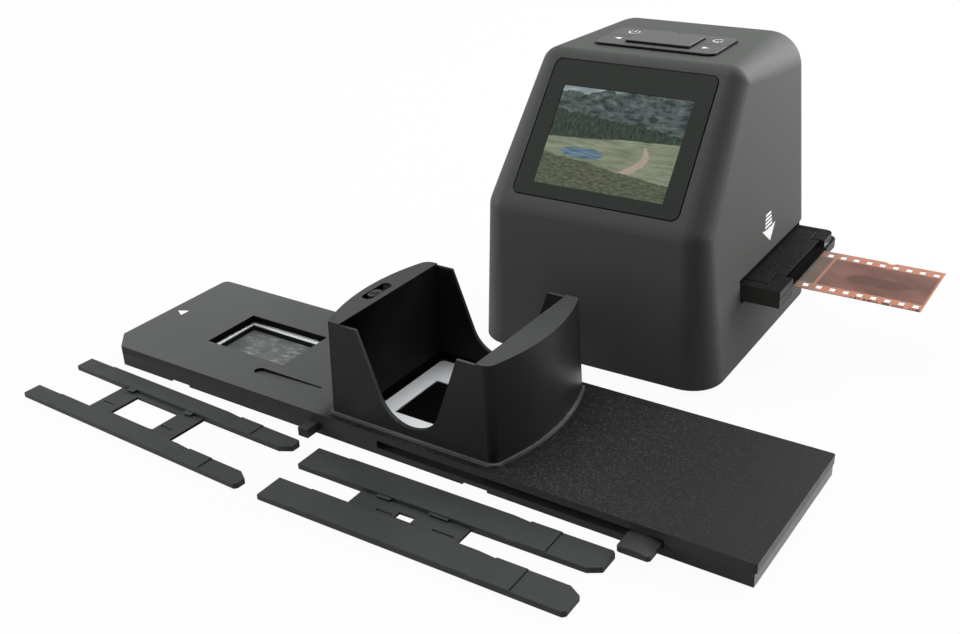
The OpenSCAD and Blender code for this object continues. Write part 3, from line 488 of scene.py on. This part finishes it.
def negative(name, base_tint, frame_tint):
    """Colour negative: orange mask, denser frames between the perforations, soft blurred tones."""
    made, tree, shader = finish(name, Roughness=0.35, IOR=1.5, Alpha=0.93, Specular_IOR_Level=0.05)
    low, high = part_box("film_strip")
    place = local_place(tree, Vector((low.x, (low.y + high.y) / 2, low.z)))
    along, beside, _ = apart(tree, place)
    step = calc(tree, "FRACT", calc(tree, "DIVIDE", along, STRIP_PITCH))
    aside = times(tree, distance(tree, step, 0.5), STRIP_PITCH)
    across = calc(tree, "ABSOLUTE", beside)
    inside = within(tree, aside, across, FILM_FRAME, (0.2, 0.3))
    # each picture holds one soft dark form over broad tones
    blur = noise(tree, stretched(tree, place, (1, 1.3, 1)), 0.07, 4, 0.45, 0.4)
    tone = mottled(tree, blur, 0.35, 0.68, frame_tint, 0.75, 1.2)
    reach = calc(tree, "POWER", calc(tree, "DIVIDE", less(tree, aside, 3.0), 9.0), 2.0)
    height = calc(tree, "DIVIDE", calc(tree, "ADD", beside, 1.5), 4.0)
    height = calc(tree, "POWER", height, 2.0)
    form = calc(tree, "ADD", calc(tree, "ADD", reach, height), times(tree, blur, 1.6))
    dark = between(tree, form, 1.9, 1.5, 0, 0.7, smooth=True)
    tone = mix(tree, dark, tone, shade(frame_tint, 0.5))
    mask = mix(tree, noise(tree, place, 0.3, 2), shade(base_tint, 0.9), shade(base_tint, 1.08))
    # plain exposure bars along one edge, near the strip's outer end
    bars = noise(tree, calc(tree, "SNAP", along, 0.5), 1.3, 1)
    bars = calc(tree, "GREATER_THAN", bars, 0.48)
    rim = times(tree, between(tree, beside, -15.9, -16.1), between(tree, along, 126, 130))
    bars = times(tree, times(tree, bars, rim), 0.85)
    colour = mix(tree, inside, mix(tree, bars, mask, shade(base_tint, 0.08)), tone)
    # a greyer band near the holder: painted shade and reflection on the strip
    fading = between(tree, along, 107.0, 119.0, 0.8, 0)
    shade_and_reflection = times(tree, between(tree, along, 97.0, 104.0), fading)
    colour = mix(tree, shade_and_reflection, colour, (0.11, 0.108, 0.09))
    dress(tree, shader, colour, height=noise(tree, place, 0.05, 2), depth=0.05)
    return made


def slide_picture(name, tint):
    """Slide seen by reflected light: a black border round a grey picture with pale flecks."""
    made, tree, shader = finish(name, Roughness=0.3, Specular_IOR_Level=0.02)
    place = tray_place(tree)
    fleck = noise(tree, stretched(tree, place, (0.6, 1.5, 1)), 0.42, 7, 0.68, 0.5)
    cloud = noise(tree, place, 0.09, 3)
    pale = times(tree, between(tree, fleck, 0.52, 0.66), between(tree, cloud, 0.36, 0.56))
    along, beside, _ = apart(tree, place)
    aside = distance(tree, along, GATE_MIDDLE[0])
    across = distance(tree, beside, GATE_MIDDLE[1])
    inside = within(tree, aside, across, SLIDE_OPENING, (0.6, 0.5))
    haze = between(tree, cloud, 0.35, 0.65)
    haze = mix(tree, haze, (0.085, 0.09, 0.092), (0.125, 0.133, 0.136))
    scene = mix(tree, pale, haze, (0.3, 0.3, 0.275))
    dress(tree, shader, mix(tree, inside, tint, scene), height=fleck, depth=0.006)
    return made


# ---- shaping
def give(piece, *finishes):
    piece.data.materials.clear()
    for one in finishes:
        piece.data.materials.append(one)


def placed(name, data):
    """A new object in the scene."""
    made = bpy.data.objects.new(name, data)
    bpy.context.scene.collection.objects.link(made)
    return made


def from_bmesh(shape, name, smooth_angle=50):
    """Makes a bmesh an object in the scene, evenly shaded up to the given angle."""
    mesh = bpy.data.meshes.new(name)
    shape.to_mesh(mesh)
    shape.free()
    for face in mesh.polygons:
        face.use_smooth = True
    mesh.set_sharp_from_angle(angle=math.radians(smooth_angle))
    made = placed(name, mesh)
    even = made.modifiers.new("even_shading", "WEIGHTED_NORMAL")
    even.keep_sharp = True
    even.weight = 80
    return made


def round_over(shape, rims, edge, segments):
    bmesh.ops.bevel(
        shape,
        geom=rims,
        offset=edge * MM,
        offset_type="OFFSET",
        affect="EDGES",
        segments=segments,
        profile=0.5,
        clamp_overlap=True,
        material=-1,
    )


def halfway(rim):
    return (rim.verts[0].co + rim.verts[1].co) / 2


def stands(_, normal):
    """Whether a face stands upright."""
    return abs(normal.z) < 0.5


def eased(node, skin, edge=0.3, segments=2, from_angle=35, where=None, corners=(), accents=()):
    """A merged copy of a solid with its outer edges rounded over, in place of the solid.

    where picks the edges that are rounded. corners lists (test, radius, segments) for edges that
    are rounded first, and accents lists (finish, test) for faces that take another finish.
    """
    name, body, slot = DRESSED[node]
    shape = bmesh.new()
    shape.from_mesh(NODES[node].data)
    bmesh.ops.remove_doubles(shape, verts=shape.verts, dist=2e-6)
    flat = math.radians(0.4)
    bmesh.ops.dissolve_limit(shape, angle_limit=flat, verts=shape.verts, edges=shape.edges)

    def outer_edges(picks):
        return [
            rim
            for rim in shape.edges
            if len(rim.link_faces) == 2
            and rim.calc_face_angle_signed() > math.radians(from_angle)
            and (picks is None or picks(rim))
        ]

    for picks, radius, steps in corners:
        round_over(shape, outer_edges(picks), radius, steps)
    round_over(shape, outer_edges(where), edge, segments)
    made = from_bmesh(shape, name)
    give(made, skin, *(accent for accent, _ in accents))
    for index, (_, picks) in enumerate(accents, 1):
        for face in made.data.polygons:
            if picks(face.center, face.normal):
                face.material_index = index
    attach(made, body)
    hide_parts(node)
    return made


def paint(skin, *nodes):
    for node in nodes:
        give(NODES[node], skin)


def plate(shape, corners, low, high):
    """Adds a flat plate with the given outline, from low to high, to a bmesh, in millimetres."""
    face = shape.faces.new([shape.verts.new((x, y, low)) for x, y in corners])
    face.normal_update()
    if face.normal.z > 0:
        face.normal_flip()
    raised = bmesh.ops.extrude_face_region(shape, geom=[face])["geom"]
    top = [one for one in raised if isinstance(one, bmesh.types.BMVert)]
    bmesh.ops.translate(shape, verts=top, vec=(0, 0, high - low))


def arc(shape, middle, radius, width, start, turn, low, high):
    """Adds a flat curved line: part of a ring, or all of it, spun round its middle."""
    first = Vector((math.cos(math.radians(start)), math.sin(math.radians(start)), 0))
    centre = Vector((*middle, 0))
    inner = centre + first * (radius - width / 2)
    outer = centre + first * (radius + width / 2)
    corners = [(inner, low), (outer, low), (outer, high), (inner, high)]
    section = shape.faces.new([shape.verts.new((point.x, point.y, z)) for point, z in corners])
    geometry = [section]
    closed = abs(turn) >= 360
    if closed:
        # a closed ring is spun from its section's edges, so no face is left inside it
        geometry = list(section.verts) + list(section.edges)
        shape.faces.remove(section)
    about = {"cent": centre, "axis": (0, 0, 1), "angle": math.radians(turn), "steps": ARC_STEPS}
    bmesh.ops.spin(shape, geom=geometry, use_merge=closed, **about)


def mark(shape, name, body, matrix, ink):
    """Sets a shape in millimetres down at its place, as a printed piece on a body."""
    bmesh.ops.remove_doubles(shape, verts=shape.verts, dist=1e-4)
    bmesh.ops.recalc_face_normals(shape, faces=shape.faces)
    bmesh.ops.transform(shape, matrix=matrix @ Matrix.Scale(MM, 4), verts=shape.verts)
    made = from_bmesh(shape, name, 40)
    give(made, ink)
    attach(made, body)


# ---- settings
def tint_of(name, text, value):
    return FloatVectorProperty(
        name=name, description=text, subtype="COLOR", size=3, min=0, max=1, default=value
    )


class ScannerBodyLook(bpy.types.PropertyGroup):
    """Finish of the scanner's housing and keys"""

    housing: tint_of("Housing", "Colour of the moulded housing", (0.052, 0.055, 0.052))
    keys: tint_of("Keys", "Colour of the key field", (0.056, 0.059, 0.057))
    panel: tint_of("Screen panel", "Colour of the frame round the picture", (0.020, 0.023, 0.020))
    ink: tint_of("Printing", "Colour of the printed marks", (0.78, 0.79, 0.78))
    edge: FloatProperty(
        name="Edge rounding",
        description="Radius of the small moulded edges",
        default=0.00035,
        min=0.0001,
        max=0.001,
        unit="LENGTH",
    )
    grain: FloatProperty(
        name="Grain", description="Size of the grain in millimetres", default=0.45, min=0.2, max=1.5
    )


class ScreenLook(bpy.types.PropertyGroup):
    """Lit picture"""

    glow: FloatProperty(
        name="Glow", description="Brightness of the lit picture", default=1.0, min=0, max=3
    )


class HolderLook(bpy.types.PropertyGroup):
    """Finish of the holder and of the film in it"""

    plastic: tint_of("Holder", "Colour of the film holder", (0.0065, 0.0065, 0.006))
    mask: tint_of("Film base", "Colour of the negative between its frames", (0.39, 0.17, 0.11))
    frames: tint_of("Film frames", "Middle tone of the negative's pictures", (0.143, 0.069, 0.053))


class TrayLook(bpy.types.PropertyGroup):
    """Finish of the slide tray, its magazine and slides"""

    base: tint_of("Tray base", "Colour of the tray's lower half", (0.022, 0.0224, 0.0212))
    smooth: tint_of("Tray cover", "Colour of the cover's smooth end", (0.073, 0.077, 0.074))
    grained: tint_of("Grained end", "Colour of its grained end", (0.0128, 0.0136, 0.0133))
    magazine: tint_of("Magazine", "Colour of the slide magazine", (0.0158, 0.0168, 0.0160))
    mount: tint_of("Slide mounts", "Colour of the slide mounts", (0.86, 0.89, 0.91))


class AdapterLook(bpy.types.PropertyGroup):
    """Finish of the narrow-film adapters"""

    plastic: tint_of("Adapters", "Colour of the adapters", (0.026, 0.028, 0.028))


class StageLook(bpy.types.PropertyGroup):
    """Camera, lamps and floor"""

    lens: FloatProperty(
        name="Lens", description="Focal length of the camera", default=44.445, min=10, unit="CAMERA"
    )
    camera: FloatVectorProperty(
        name="Camera",
        description="Place of the camera",
        subtype="TRANSLATION",
        default=(0.20606, -0.32023, 0.20792),
    )
    aim: FloatVectorProperty(
        name="Aim",
        description="Camera heading, dip below the horizon and roll",
        subtype="EULER",
        default=(math.radians(33.69), math.radians(26.61), math.radians(-2.48)),
    )
    lamp: FloatProperty(
        name="Lamps", description="Strength of the lamps together", default=1.0, min=0, max=4
    )


LOOKS = {
    "scanner_body_look": ScannerBodyLook,
    "scanner_screen_look": ScreenLook,
    "scanner_holder_look": HolderLook,
    "scanner_tray_look": TrayLook,
    "scanner_adapter_look": AdapterLook,
    "scanner_stage_look": StageLook,
}


def ink_finish():
    """The white ink, made once for all printed marks."""
    ready = bpy.data.materials.get("white_print")
    return ready or printed_ink("white_print", bpy.context.scene.scanner_body_look.ink)


# ---- pieces
class SCANNER_OT_housing(bpy.types.Operator):
    """Round the housing's small edges and finish it with its bottom cover, feet and screws"""

    bl_idname = "scanner.housing"
    bl_label = "Housing"

    def execute(self, context):
        look = context.scene.scanner_body_look
        skin = moulded(
            "housing_skin", look.housing, 0.62, look.grain, spread=0.02, gloss=0.1, rubbed=0.015
        )
        eased("housing", skin, edge=look.edge / MM, from_angle=30)
        eased("base_plate", moulded("cover_skin", (0.03, 0.03, 0.03)), edge=0.25)
        eased("rubber_feet", rubber("foot_skin", (0.012, 0.012, 0.012)), edge=0.25)
        paint(metal("zinc_screw", (0.5, 0.51, 0.53)), "base_screws")
        return {"FINISHED"}


class SCANNER_OT_screen(bpy.types.Operator):
    """Build the panel and the lit picture"""

    bl_idname = "scanner.screen"
    bl_label = "Screen"

    def execute(self, context):
        look = context.scene.scanner_body_look
        skin = moulded(
            "panel_skin", look.panel, 0.34, 0.3, 0.003, spread=0.02, gloss=0.12, rubbed=0.01
        )
        eased("screen_panel", skin, edge=0.15)
        lit = screen_picture("lit_picture", context.scene.scanner_screen_look.glow)
        eased("screen_pane", lit, edge=0.08, segments=1)
        paint(metal("display_can", (0.6, 0.61, 0.63), 0.4), "lcd_module")
        paint(circuit("ribbon_skin", (0.32, 0.15, 0.03), (0.5, 0.3, 0.1)), "screen_ribbon")
        return {"FINISHED"}


class SCANNER_OT_keys(bpy.types.Operator):
    """Build the five keys, their printed signs and the status light"""

    bl_idname = "scanner.keys"
    bl_label = "Keys"

    def execute(self, context):
        look = context.scene.scanner_body_look
        tint, grain = look.keys, look.grain
        skin = moulded("key_skin", tint, 0.5, grain, spread=0.03, gloss=0.14, rubbed=0.02)
        raised = moulded("scan_key_skin", shade(tint, 1.05), 0.46, grain, 0.015, 0.03, 0.14, 0.02)
        # a much darker copy of the key plastic: painted shade on the keys' upright sides, and the
        # dark ring round the status light
        side = moulded("key_side_shade_and_ring", shade(tint, 0.12), 0.6, grain, 0.015, 0.03, 0.05)
        seam = (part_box("left_key")[1].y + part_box("power_key")[0].y) / 2

        def off_seams(rim):
            """Whether an edge lies away from the narrow seams between the corner keys."""
            spot = halfway(rim)
            return min(abs(spot.x - STAND.x), abs(spot.y - seam)) > 0.4 * MM

        # the keys' upright sides take the painted shade
        shaded_sides = [(side, stands)]
        for sign in KEY_SIGNS:
            eased(f"{sign}_key", skin, segments=3, where=off_seams, accents=shaded_sides)
        eased("scan_key", raised, segments=3, accents=shaded_sides)
        paint(milky("light_guide", (0.5, 0.52, 0.5)), "status_light")
        low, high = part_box("status_light")
        over_light = Matrix.Translation(((low.x + high.x) / 2, (low.y + high.y) / 2, high.z))
        ring = bmesh.new()
        arc(ring, (0, 0), 1.1, 0.34, 0, 360, *INK)
        mark(ring, "light_ring", "scanner_set", over_light, side)
        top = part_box("left_key")[1].z / MM
        on_keys = Matrix.Translation(STAND)
        for sign, (curve, outline) in KEY_SIGNS.items():
            shape = bmesh.new()
            if curve:
                arc(shape, *curve, top + INK[0], top + INK[1])
            plate(shape, outline, top + INK[0], top + INK[1])
            mark(shape, f"{sign}_sign", f"{sign}_key", on_keys, ink_finish())
        return {"FINISHED"}


class SCANNER_OT_side_arrow(bpy.types.Operator):
    """Print the arrow that points down to the film slot"""

    bl_idname = "scanner.side_arrow"
    bl_label = "Side arrow"

    def execute(self, context):
        sign = bmesh.new()
        ink_height = THICK_INK[1]
        plate(sign, ARROW_HEAD, 0, ink_height)
        for step in range(ARROW_BARS):
            low, narrow = BARS_FROM + BAR_STEP * step, BAR_TAPER * step
            foot = [(2.2 + narrow, low), (9.4 - narrow, low)]
            head = [(9.2 - narrow, low + BAR_HEIGHT), (2.4 + narrow, low + BAR_HEIGHT)]
            plate(sign, foot + head, 0, ink_height)
        # each corner is set down on the leaning wall
        wall = bmesh.new()
        wall.from_mesh(NODES["housing"].data)
        wall_tree = BVHTree.FromBMesh(wall)
        wall.free()
        for corner in sign.verts:
            back, up, proud = corner.co
            start = STAND + Vector((100, back, up)) * MM
            hit, out, _, _ = wall_tree.ray_cast(start, Vector((-1, 0, 0)))
            corner.co = (hit + out * (proud + 0.01) * MM) / MM
        mark(sign, "side_arrow", "scanner_set", Matrix.Identity(4), ink_finish())
        return {"FINISHED"}


class SCANNER_OT_insides(bpy.types.Operator):
    """Finish the parts inside the housing"""

    bl_idname = "scanner.insides"
    bl_label = "Insides"

    def execute(self, context):
        black = moulded("black_inner_plastic", (0.012, 0.012, 0.012), rough=0.7, depth=0.03)
        white = moulded("white_inner_plastic", (0.75, 0.75, 0.74), rough=0.6)
        paint(circuit("green_board", (0.012, 0.10, 0.04)), "key_board", "main_board")
        paint(black, "film_gate", "lens_tower", "lens_barrel")
        paint(rubber("silicone", (0.42, 0.42, 0.41)), "key_domes")
        paint(metal("bright_screw", (0.62, 0.62, 0.64)), "board_screws")
        paint(circuit("white_board", (0.7, 0.7, 0.68), (0.6, 0.6, 0.57)), "backlight_board")
        paint(milky("phosphor", (0.85, 0.7, 0.2)), "backlight_leds")
        paint(white, "light_box")
        paint(milky("diffuser_sheet", (0.86, 0.86, 0.85), glow=0.25), "diffuser")
        paint(clear_glass("coated_glass", (0.88, 0.93, 0.97)), "lens_glass")
        paint(polished("sensor_face", (0.03, 0.035, 0.06), rough=0.12), "image_sensor")
        paint(metal("tinned_socket", (0.66, 0.66, 0.67), 0.25), "usb_socket", "card_socket")
        return {"FINISHED"}


class SCANNER_OT_holder(bpy.types.Operator):
    """Build the 35 mm holder and the strip of negatives"""

    bl_idname = "scanner.holder"
    bl_label = "Film holder"

    def execute(self, context):
        look = context.scene.scanner_holder_look
        tint = look.plastic
        skin = moulded(
            "holder_skin", shade(tint, 0.25), 0.55, 1.1, 0.15, spread=0.3, gloss=0.03, fleck=24
        )
        # a much lighter copy of the holder plastic: painted light on the base's upright walls clear
        # of the film
        end = moulded("holder_end_painted_light", shade(tint, 6), 0.5, 0.8, 0.05, spread=0.2, gloss=0.1)
        # a near black copy: painted shade on the lid's end faces and thin lip over the film
        mouth_shade = moulded("mouth_painted_shade", shade(tint, 0.2), 0.8, 0.5, 0.01, spread=0.05, gloss=0.01)
        low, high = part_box("film_strip")
        lid_low, lid_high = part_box("holder_lid")
        ends_from = (lid_high.x - lid_low.x) / 2 - 4 * MM

        def over_film(centre, normal):
            """Whether a face of the lid looks out over the film, or is its thin lip."""
            at_end = abs(centre.x - STAND.x) > ends_from and low.y < centre.y < high.y
            return at_end and (abs(normal.x) > 0.7 or centre.z < lid_high.z - 1 * MM)

        def end_wall(centre, normal):
            return stands(centre, normal) and not (low.y < centre.y < high.y)

        eased("holder_base", skin, edge=0.4, segments=3, accents=[(end, end_wall)])
        eased("holder_lid", skin, accents=[(mouth_shade, over_film)])
        paint(negative("colour_negative", look.mask, look.frames), "film_strip")
        return {"FINISHED"}


class SCANNER_OT_tray(bpy.types.Operator):
    """Build the slide tray, its screws and the printed triangle"""

    bl_idname = "scanner.tray"
    bl_label = "Slide tray"

    def execute(self, context):
        look = context.scene.scanner_tray_look
        base = look.base
        lower = moulded("tray_base_skin", base, 0.5, depth=0.03, spread=0.1, gloss=0.12)
        upper = tray_skin("tray_cover_skin", look.smooth, look.grained)
        # a near black copy of the base plastic: painted shade on the walls of the cover's window,
        # well and groove
        cut = moulded("tray_recess_painted_shade", shade(base, 0.15), 0.7, 0.5, 0.01, spread=0.05, gloss=0.02)
        # much lighter copies of the base plastic: painted light on the right end faces of both
        # halves
        end = moulded("tray_end_painted_light", shade(base, 7), 0.5, 0.9, 0.05, spread=0.15, gloss=0.15)
        lit_tip = moulded("tray_tip_painted_light", shade(base, 3.6), 0.5, 0.9, 0.05, spread=0.15, gloss=0.15)
        half = Vector(TRAY_SIZE) / 2

        def bottom_edge(rim):
            spot = in_tray(halfway(rim))
            outer = abs(spot.x) > half.x - 4 or abs(spot.y) > half.y - 1
            return outer and max(one.co.z for one in rim.verts) < 0.05 * MM

        def off_split(rim):
            """Whether an edge isn't on the line where the tray's halves meet."""
            return any(abs(one.co.z / MM - TRAY_SPLIT) > 0.1 for one in rim.verts)

        def inner_wall(centre, normal):
            """Whether a face of the cover is a wall of its window, well or groove."""
            spot = in_tray(centre)
            inner = abs(spot.x) < half.x - 3 and abs(spot.y) < half.y - 1.5
            return stands(centre, normal) and inner

        def outer_wall(centre, normal):
            return stands(centre, normal) and not inner_wall(centre, normal)

        def right_end(centre, normal):
            return normal.x > 0.9 and in_tray(centre).x > half.x - 3

        # painted light on the right end faces, painted shade on the cover's inner walls; the
        # cover's outer walls take the base's own colour
        rounded_foot, ends = [(bottom_edge, 1.2, 4)], [(end, right_end)]
        walls = [(cut, inner_wall), (lower, outer_wall), (lit_tip, right_end)]
        eased("tray_base", lower, 0.25, where=off_split, corners=rounded_foot, accents=ends)
        eased("tray_cover", upper, 0.35, 3, where=off_split, accents=walls)
        paint(metal("tray_screw_zinc", (0.5, 0.5, 0.52)), "tray_screws")
        sign = bmesh.new()
        plate(sign, FEED_TRIANGLE, *THICK_INK)
        turn = Matrix.Rotation(TRAY_TURN, 4, "Z")
        place = Matrix.Translation(TRAY + Vector((0, 0, TRAY_TOP * MM))) @ turn
        mark(sign, "feed_triangle", "scanner_set", place, ink_finish())
        return {"FINISHED"}


class SCANNER_OT_magazine(bpy.types.Operator):
    """Build the slide magazine with its lock, the pusher and the slides"""

    bl_idname = "scanner.magazine"
    bl_label = "Magazine and slides"

    def execute(self, context):
        look = context.scene.scanner_tray_look
        tint = look.magazine
        skin = moulded("magazine_skin", tint, 0.34, 0.5, 0.006, 0.05, 0.1, 0.03)
        # a darker copy of the magazine plastic: painted shade inside the well
        inner = moulded("magazine_inner_painted_shade", shade(tint, 0.8), 0.45, 0.5, 0.006, 0.05, 0.06)
        # a lighter copy: painted light on the up-facing tops of the walls and in the finger
        # cut-outs
        rim = moulded("magazine_rim_painted_light", shade(tint, 2.6), 0.5, spread=0.05, gloss=0.1)
        # a lighter copy: a painted highlight along the foot and its ledge
        foot = moulded("magazine_foot_painted_highlight", shade(tint, 4.5), 0.5, 0.5, 0.03, 0.3, 0.15)
        middle = in_tray(centre_of("magazine"))
        foot_top = (TRAY_TOP + FOOT_HEIGHT) * MM

        def soft_corner(edge):
            """Whether an edge is an upright one at the front right or the rear left corner."""
            ends = [in_tray(one.co) - middle for one in edge.verts]
            x, y, _ = (ends[0] + ends[1]) / 2
            run = ends[1] - ends[0]
            outer = abs(x) > CORNER_FROM[0] and abs(y) > CORNER_FROM[1]
            return outer and x * y < 0 and abs(run.z) > 0.9 * run.length

        def inside(centre, _):
            spot = in_tray(centre) - middle
            return abs(spot.x) < WELL[0] and abs(spot.y) < WELL[1]

        def at_foot(centre, normal):
            """Whether a face is part of the foot: its upright side or the ledge all round."""
            return centre.z < foot_top and (normal.z > 0.9 or not inside(centre, normal))

        def on_top(centre, normal):
            """Whether a face is a top edge of a wall or lies in a finger cut-out."""
            return centre.z > foot_top + 4 * MM and normal.z > 0.15

        accents = [(inner, inside), (foot, at_foot), (rim, on_top)]
        box = eased("magazine", skin, 0.35, 3, corners=[(soft_corner, 2.8, 6)], accents=accents)
        self.even_walls(context, box, middle)
        small = moulded("slider_skin", shade(tint, 1.5), 0.45, spread=0.1, gloss=0.15)
        eased("lock_slider", small, segments=3)
        eased("slide_pusher", small, edge=0.5, segments=3)
        white = card("mount_card", look.mount)
        picture = slide_picture("slide_emulsion", (0.003, 0.003, 0.003))
        for slide in ("gate_slide", "stack_slide"):
            eased(f"{slide}_mount", white, edge=0.25)
            paint(picture, f"{slide}_film")
        return {"FINISHED"}

    def even_walls(self, context, piece, middle):
        """Shades the two curved side walls by their true curve, and the large flat ones evenly."""
        ready = piece.evaluated_get(context.evaluated_depsgraph_get()).to_mesh()
        normals = [Vector(corner.vector) for corner in ready.corner_normals]
        turn = Matrix.Rotation(TRAY_TURN, 3, "Z")
        mesh = piece.data
        for face in mesh.polygons:
            spot = in_tray(face.center) - middle
            flat = turn.inverted() @ face.normal
            if abs(flat.y) > 0.9 and face.area > LARGE_FACE * MM * MM:
                for loop in face.loop_indices:
                    normals[loop] = face.normal.copy()
            curved = abs(flat.z) <= 0.1 and abs(flat.y) <= 0.37
            if not curved or abs(spot.x) < SIDE_WALL_FROM or spot.z < WALLS_FROM_Z:
                continue
            for loop in face.loop_indices:
                corner = in_tray(mesh.vertices[mesh.loops[loop].vertex_index].co) - middle
                out = Vector((corner.x + math.copysign(SIDE_CENTRE, corner.x), corner.y, 0))
                out.normalize()
                out.z = SIDE_LEAN
                normals[loop] = turn @ out.normalized()
        piece.modifiers.clear()
        mesh.normals_split_custom_set(normals)


class SCANNER_OT_adapters(bpy.types.Operator):
    """Build the two narrow-film adapters"""

    bl_idname = "scanner.adapters"
    bl_label = "Film adapters"

    def execute(self, context):
        tint = context.scene.scanner_adapter_look.plastic
        skin = moulded("adapter_skin", shade(tint, 1.15), 0.5, 0.9, 0.03, spread=0.1, gloss=0.12)
        # a near black copy: painted shade on the upright step faces across the adapters
        dark = moulded(
            "adapter_step_painted_shade", shade(tint, 0.15), 0.6, 0.9, 0.03, spread=0.1, gloss=0.05
        )
        for node in ("wide_adapter", "narrow_adapter"):
            middle = centre_of(node)
            axis = self.long_axis(NODES[node].data)
            ends = (abs((one.co - middle).dot(axis)) for one in NODES[node].data.vertices)
            reach = max(ends) - 3 * MM

            def off_steps(rim):
                """Whether an edge runs along the adapter or lies at one of its ends."""
                run = rim.verts[1].co - rim.verts[0].co
                spot = halfway(rim) - middle
                return abs(run.dot(axis)) > 0.2 * run.length or abs(spot.dot(axis)) > reach

            # the step faces take the painted shade
            def step(centre, normal):
                return abs(normal.dot(axis)) > 0.7 and abs((centre - middle).dot(axis)) < reach

            eased(node, skin, edge=0.25, where=off_steps, accents=[(dark, step)])
        return {"FINISHED"}

    def long_axis(self, mesh):
        """The direction of a mesh's longest edge."""
        runs = []
        for rim in mesh.edges:
            first, second = (mesh.vertices[one].co for one in rim.vertices)
            runs.append(second - first)
        return max(runs, key=lambda run: run.length).normalized()


# ---- stage
class SCANNER_OT_stage(bpy.types.Operator):
    """Set up the camera, the lamps, the floor and the backdrop"""

    bl_idname = "scanner.stage"
    bl_label = "Stage"

    def execute(self, context):
        look = context.scene.scanner_stage_look
        self.camera(context, look)
        self.lamps(look)
        self.surroundings(context)
        self.floor()
        context.scene.view_settings.view_transform = "Standard"
        return {"FINISHED"}

    def camera(self, context, look):
        data = bpy.data.cameras.new("main_camera")
        data.lens = look.lens
        data.sensor_width = 36
        data.clip_start, data.clip_end = 0.01, 20
        made = placed("main_camera", data)
        heading, dip, roll = look.aim
        level = math.cos(dip)
        ahead = Vector((-math.sin(heading) * level, math.cos(heading) * level, -math.sin(dip)))
        right = Vector((math.cos(heading), math.sin(heading), 0))
        up = right.cross(ahead)
        aside = math.cos(roll) * right + math.sin(roll) * up
        above = math.cos(roll) * up - math.sin(roll) * right
        turn = Matrix((aside, above, -ahead)).transposed().to_4x4()
        made.matrix_world = Matrix.Translation(look.camera) @ turn
        context.scene.camera = made

    def lamps(self, look):
        middle = Vector((0, 0, 0.04))
        for name, place, size, power in LAMPS:
            data = bpy.data.lights.new(name, "AREA")
            data.shape = "RECTANGLE"
            data.size, data.size_y = size
            data.energy = power * look.lamp
            made = placed(name, data)
            made.location = place
            made.rotation_euler = (middle - Vector(place)).to_track_quat("-Z", "Y").to_euler()

    def seen(self, tree):
        """1 for rays that see a white surrounding: the camera's, reflected and through glass."""
        path = put(tree, "LightPath").outputs
        direct = calc(tree, "MAXIMUM", path["Is Camera Ray"], path["Is Transmission Ray"])
        return calc(tree, "MAXIMUM", direct, path["Is Glossy Ray"])

    def surroundings(self, context):
        """A dim white world, full white where it is seen."""
        world = bpy.data.worlds.new("studio")
        world.use_nodes = True
        tree = world.node_tree
        tree.nodes.clear()
        seen = self.seen(tree)
        dim = put(tree, "Background", {"Color": WHITE, "Strength": 0.12})
        bright = put(tree, "Background", {"Color": WHITE, "Strength": 1.0})
        both = put(tree, "MixShader", {0: seen, 1: dim.outputs[0], 2: bright.outputs[0]})
        put(tree, "OutputWorld", {"Surface": both.outputs[0]})
        context.scene.world = world

    def floor(self):
        """A large pale floor just under the feet, near white where it is seen, with shadows."""
        shape = bmesh.new()
        bmesh.ops.create_grid(shape, x_segments=2, y_segments=2, size=3.0)
        bmesh.ops.translate(shape, verts=shape.verts, vec=(0, 0, -0.0003))
        made = from_bmesh(shape, "studio_floor")
        made.modifiers.clear()
        pale = {"Base_Color": (0.5, 0.5, 0.5, 1), "Roughness": 0.9}
        floor, tree, shader = finish("studio_floor_white", **pale)
        glow = put(tree, "Emission", {"Color": WHITE, "Strength": 1.0})
        share = times(tree, self.seen(tree), 0.95)
        both = put(tree, "MixShader", {0: share, 1: shader.outputs[0], 2: glow.outputs[0]})
        tree.links.new(both.outputs[0], tree.nodes["Material Output"].inputs[0])
        give(made, floor)


PIECES = (
    SCANNER_OT_housing,
    SCANNER_OT_screen,
    SCANNER_OT_keys,
    SCANNER_OT_side_arrow,
    SCANNER_OT_insides,
    SCANNER_OT_holder,
    SCANNER_OT_tray,
    SCANNER_OT_magazine,
    SCANNER_OT_adapters,
    SCANNER_OT_stage,
)


class SCANNER_PT_panel(bpy.types.Panel):
    """Lists the pieces and their settings"""

    bl_idname = "SCANNER_PT_panel"
    bl_label = "Film and slide scanner"
    bl_space_type = "VIEW_3D"
    bl_region_type = "UI"
    bl_category = "Film scanner"

    def draw(self, context):
        for piece in PIECES:
            self.layout.operator(piece.bl_idname)
        for group, kind in LOOKS.items():
            block = self.layout.box()
            block.label(text=kind.__doc__)
            for field in kind.__annotations__:
                block.prop(getattr(context.scene, group), field)


def register():
    for kind in (*LOOKS.values(), *PIECES, SCANNER_PT_panel):
        bpy.utils.register_class(kind)
    for name, kind in LOOKS.items():
        setattr(bpy.types.Scene, name, PointerProperty(type=kind))


def unregister():
    for name in LOOKS:
        delattr(bpy.types.Scene, name)
    for kind in reversed((*LOOKS.values(), *PIECES, SCANNER_PT_panel)):
        bpy.utils.unregister_class(kind)


def main():
    register()
    for piece in PIECES:
        group, action = piece.bl_idname.split(".")
        getattr(getattr(bpy.ops, group), action)()


if __name__ == "__main__":
    main()
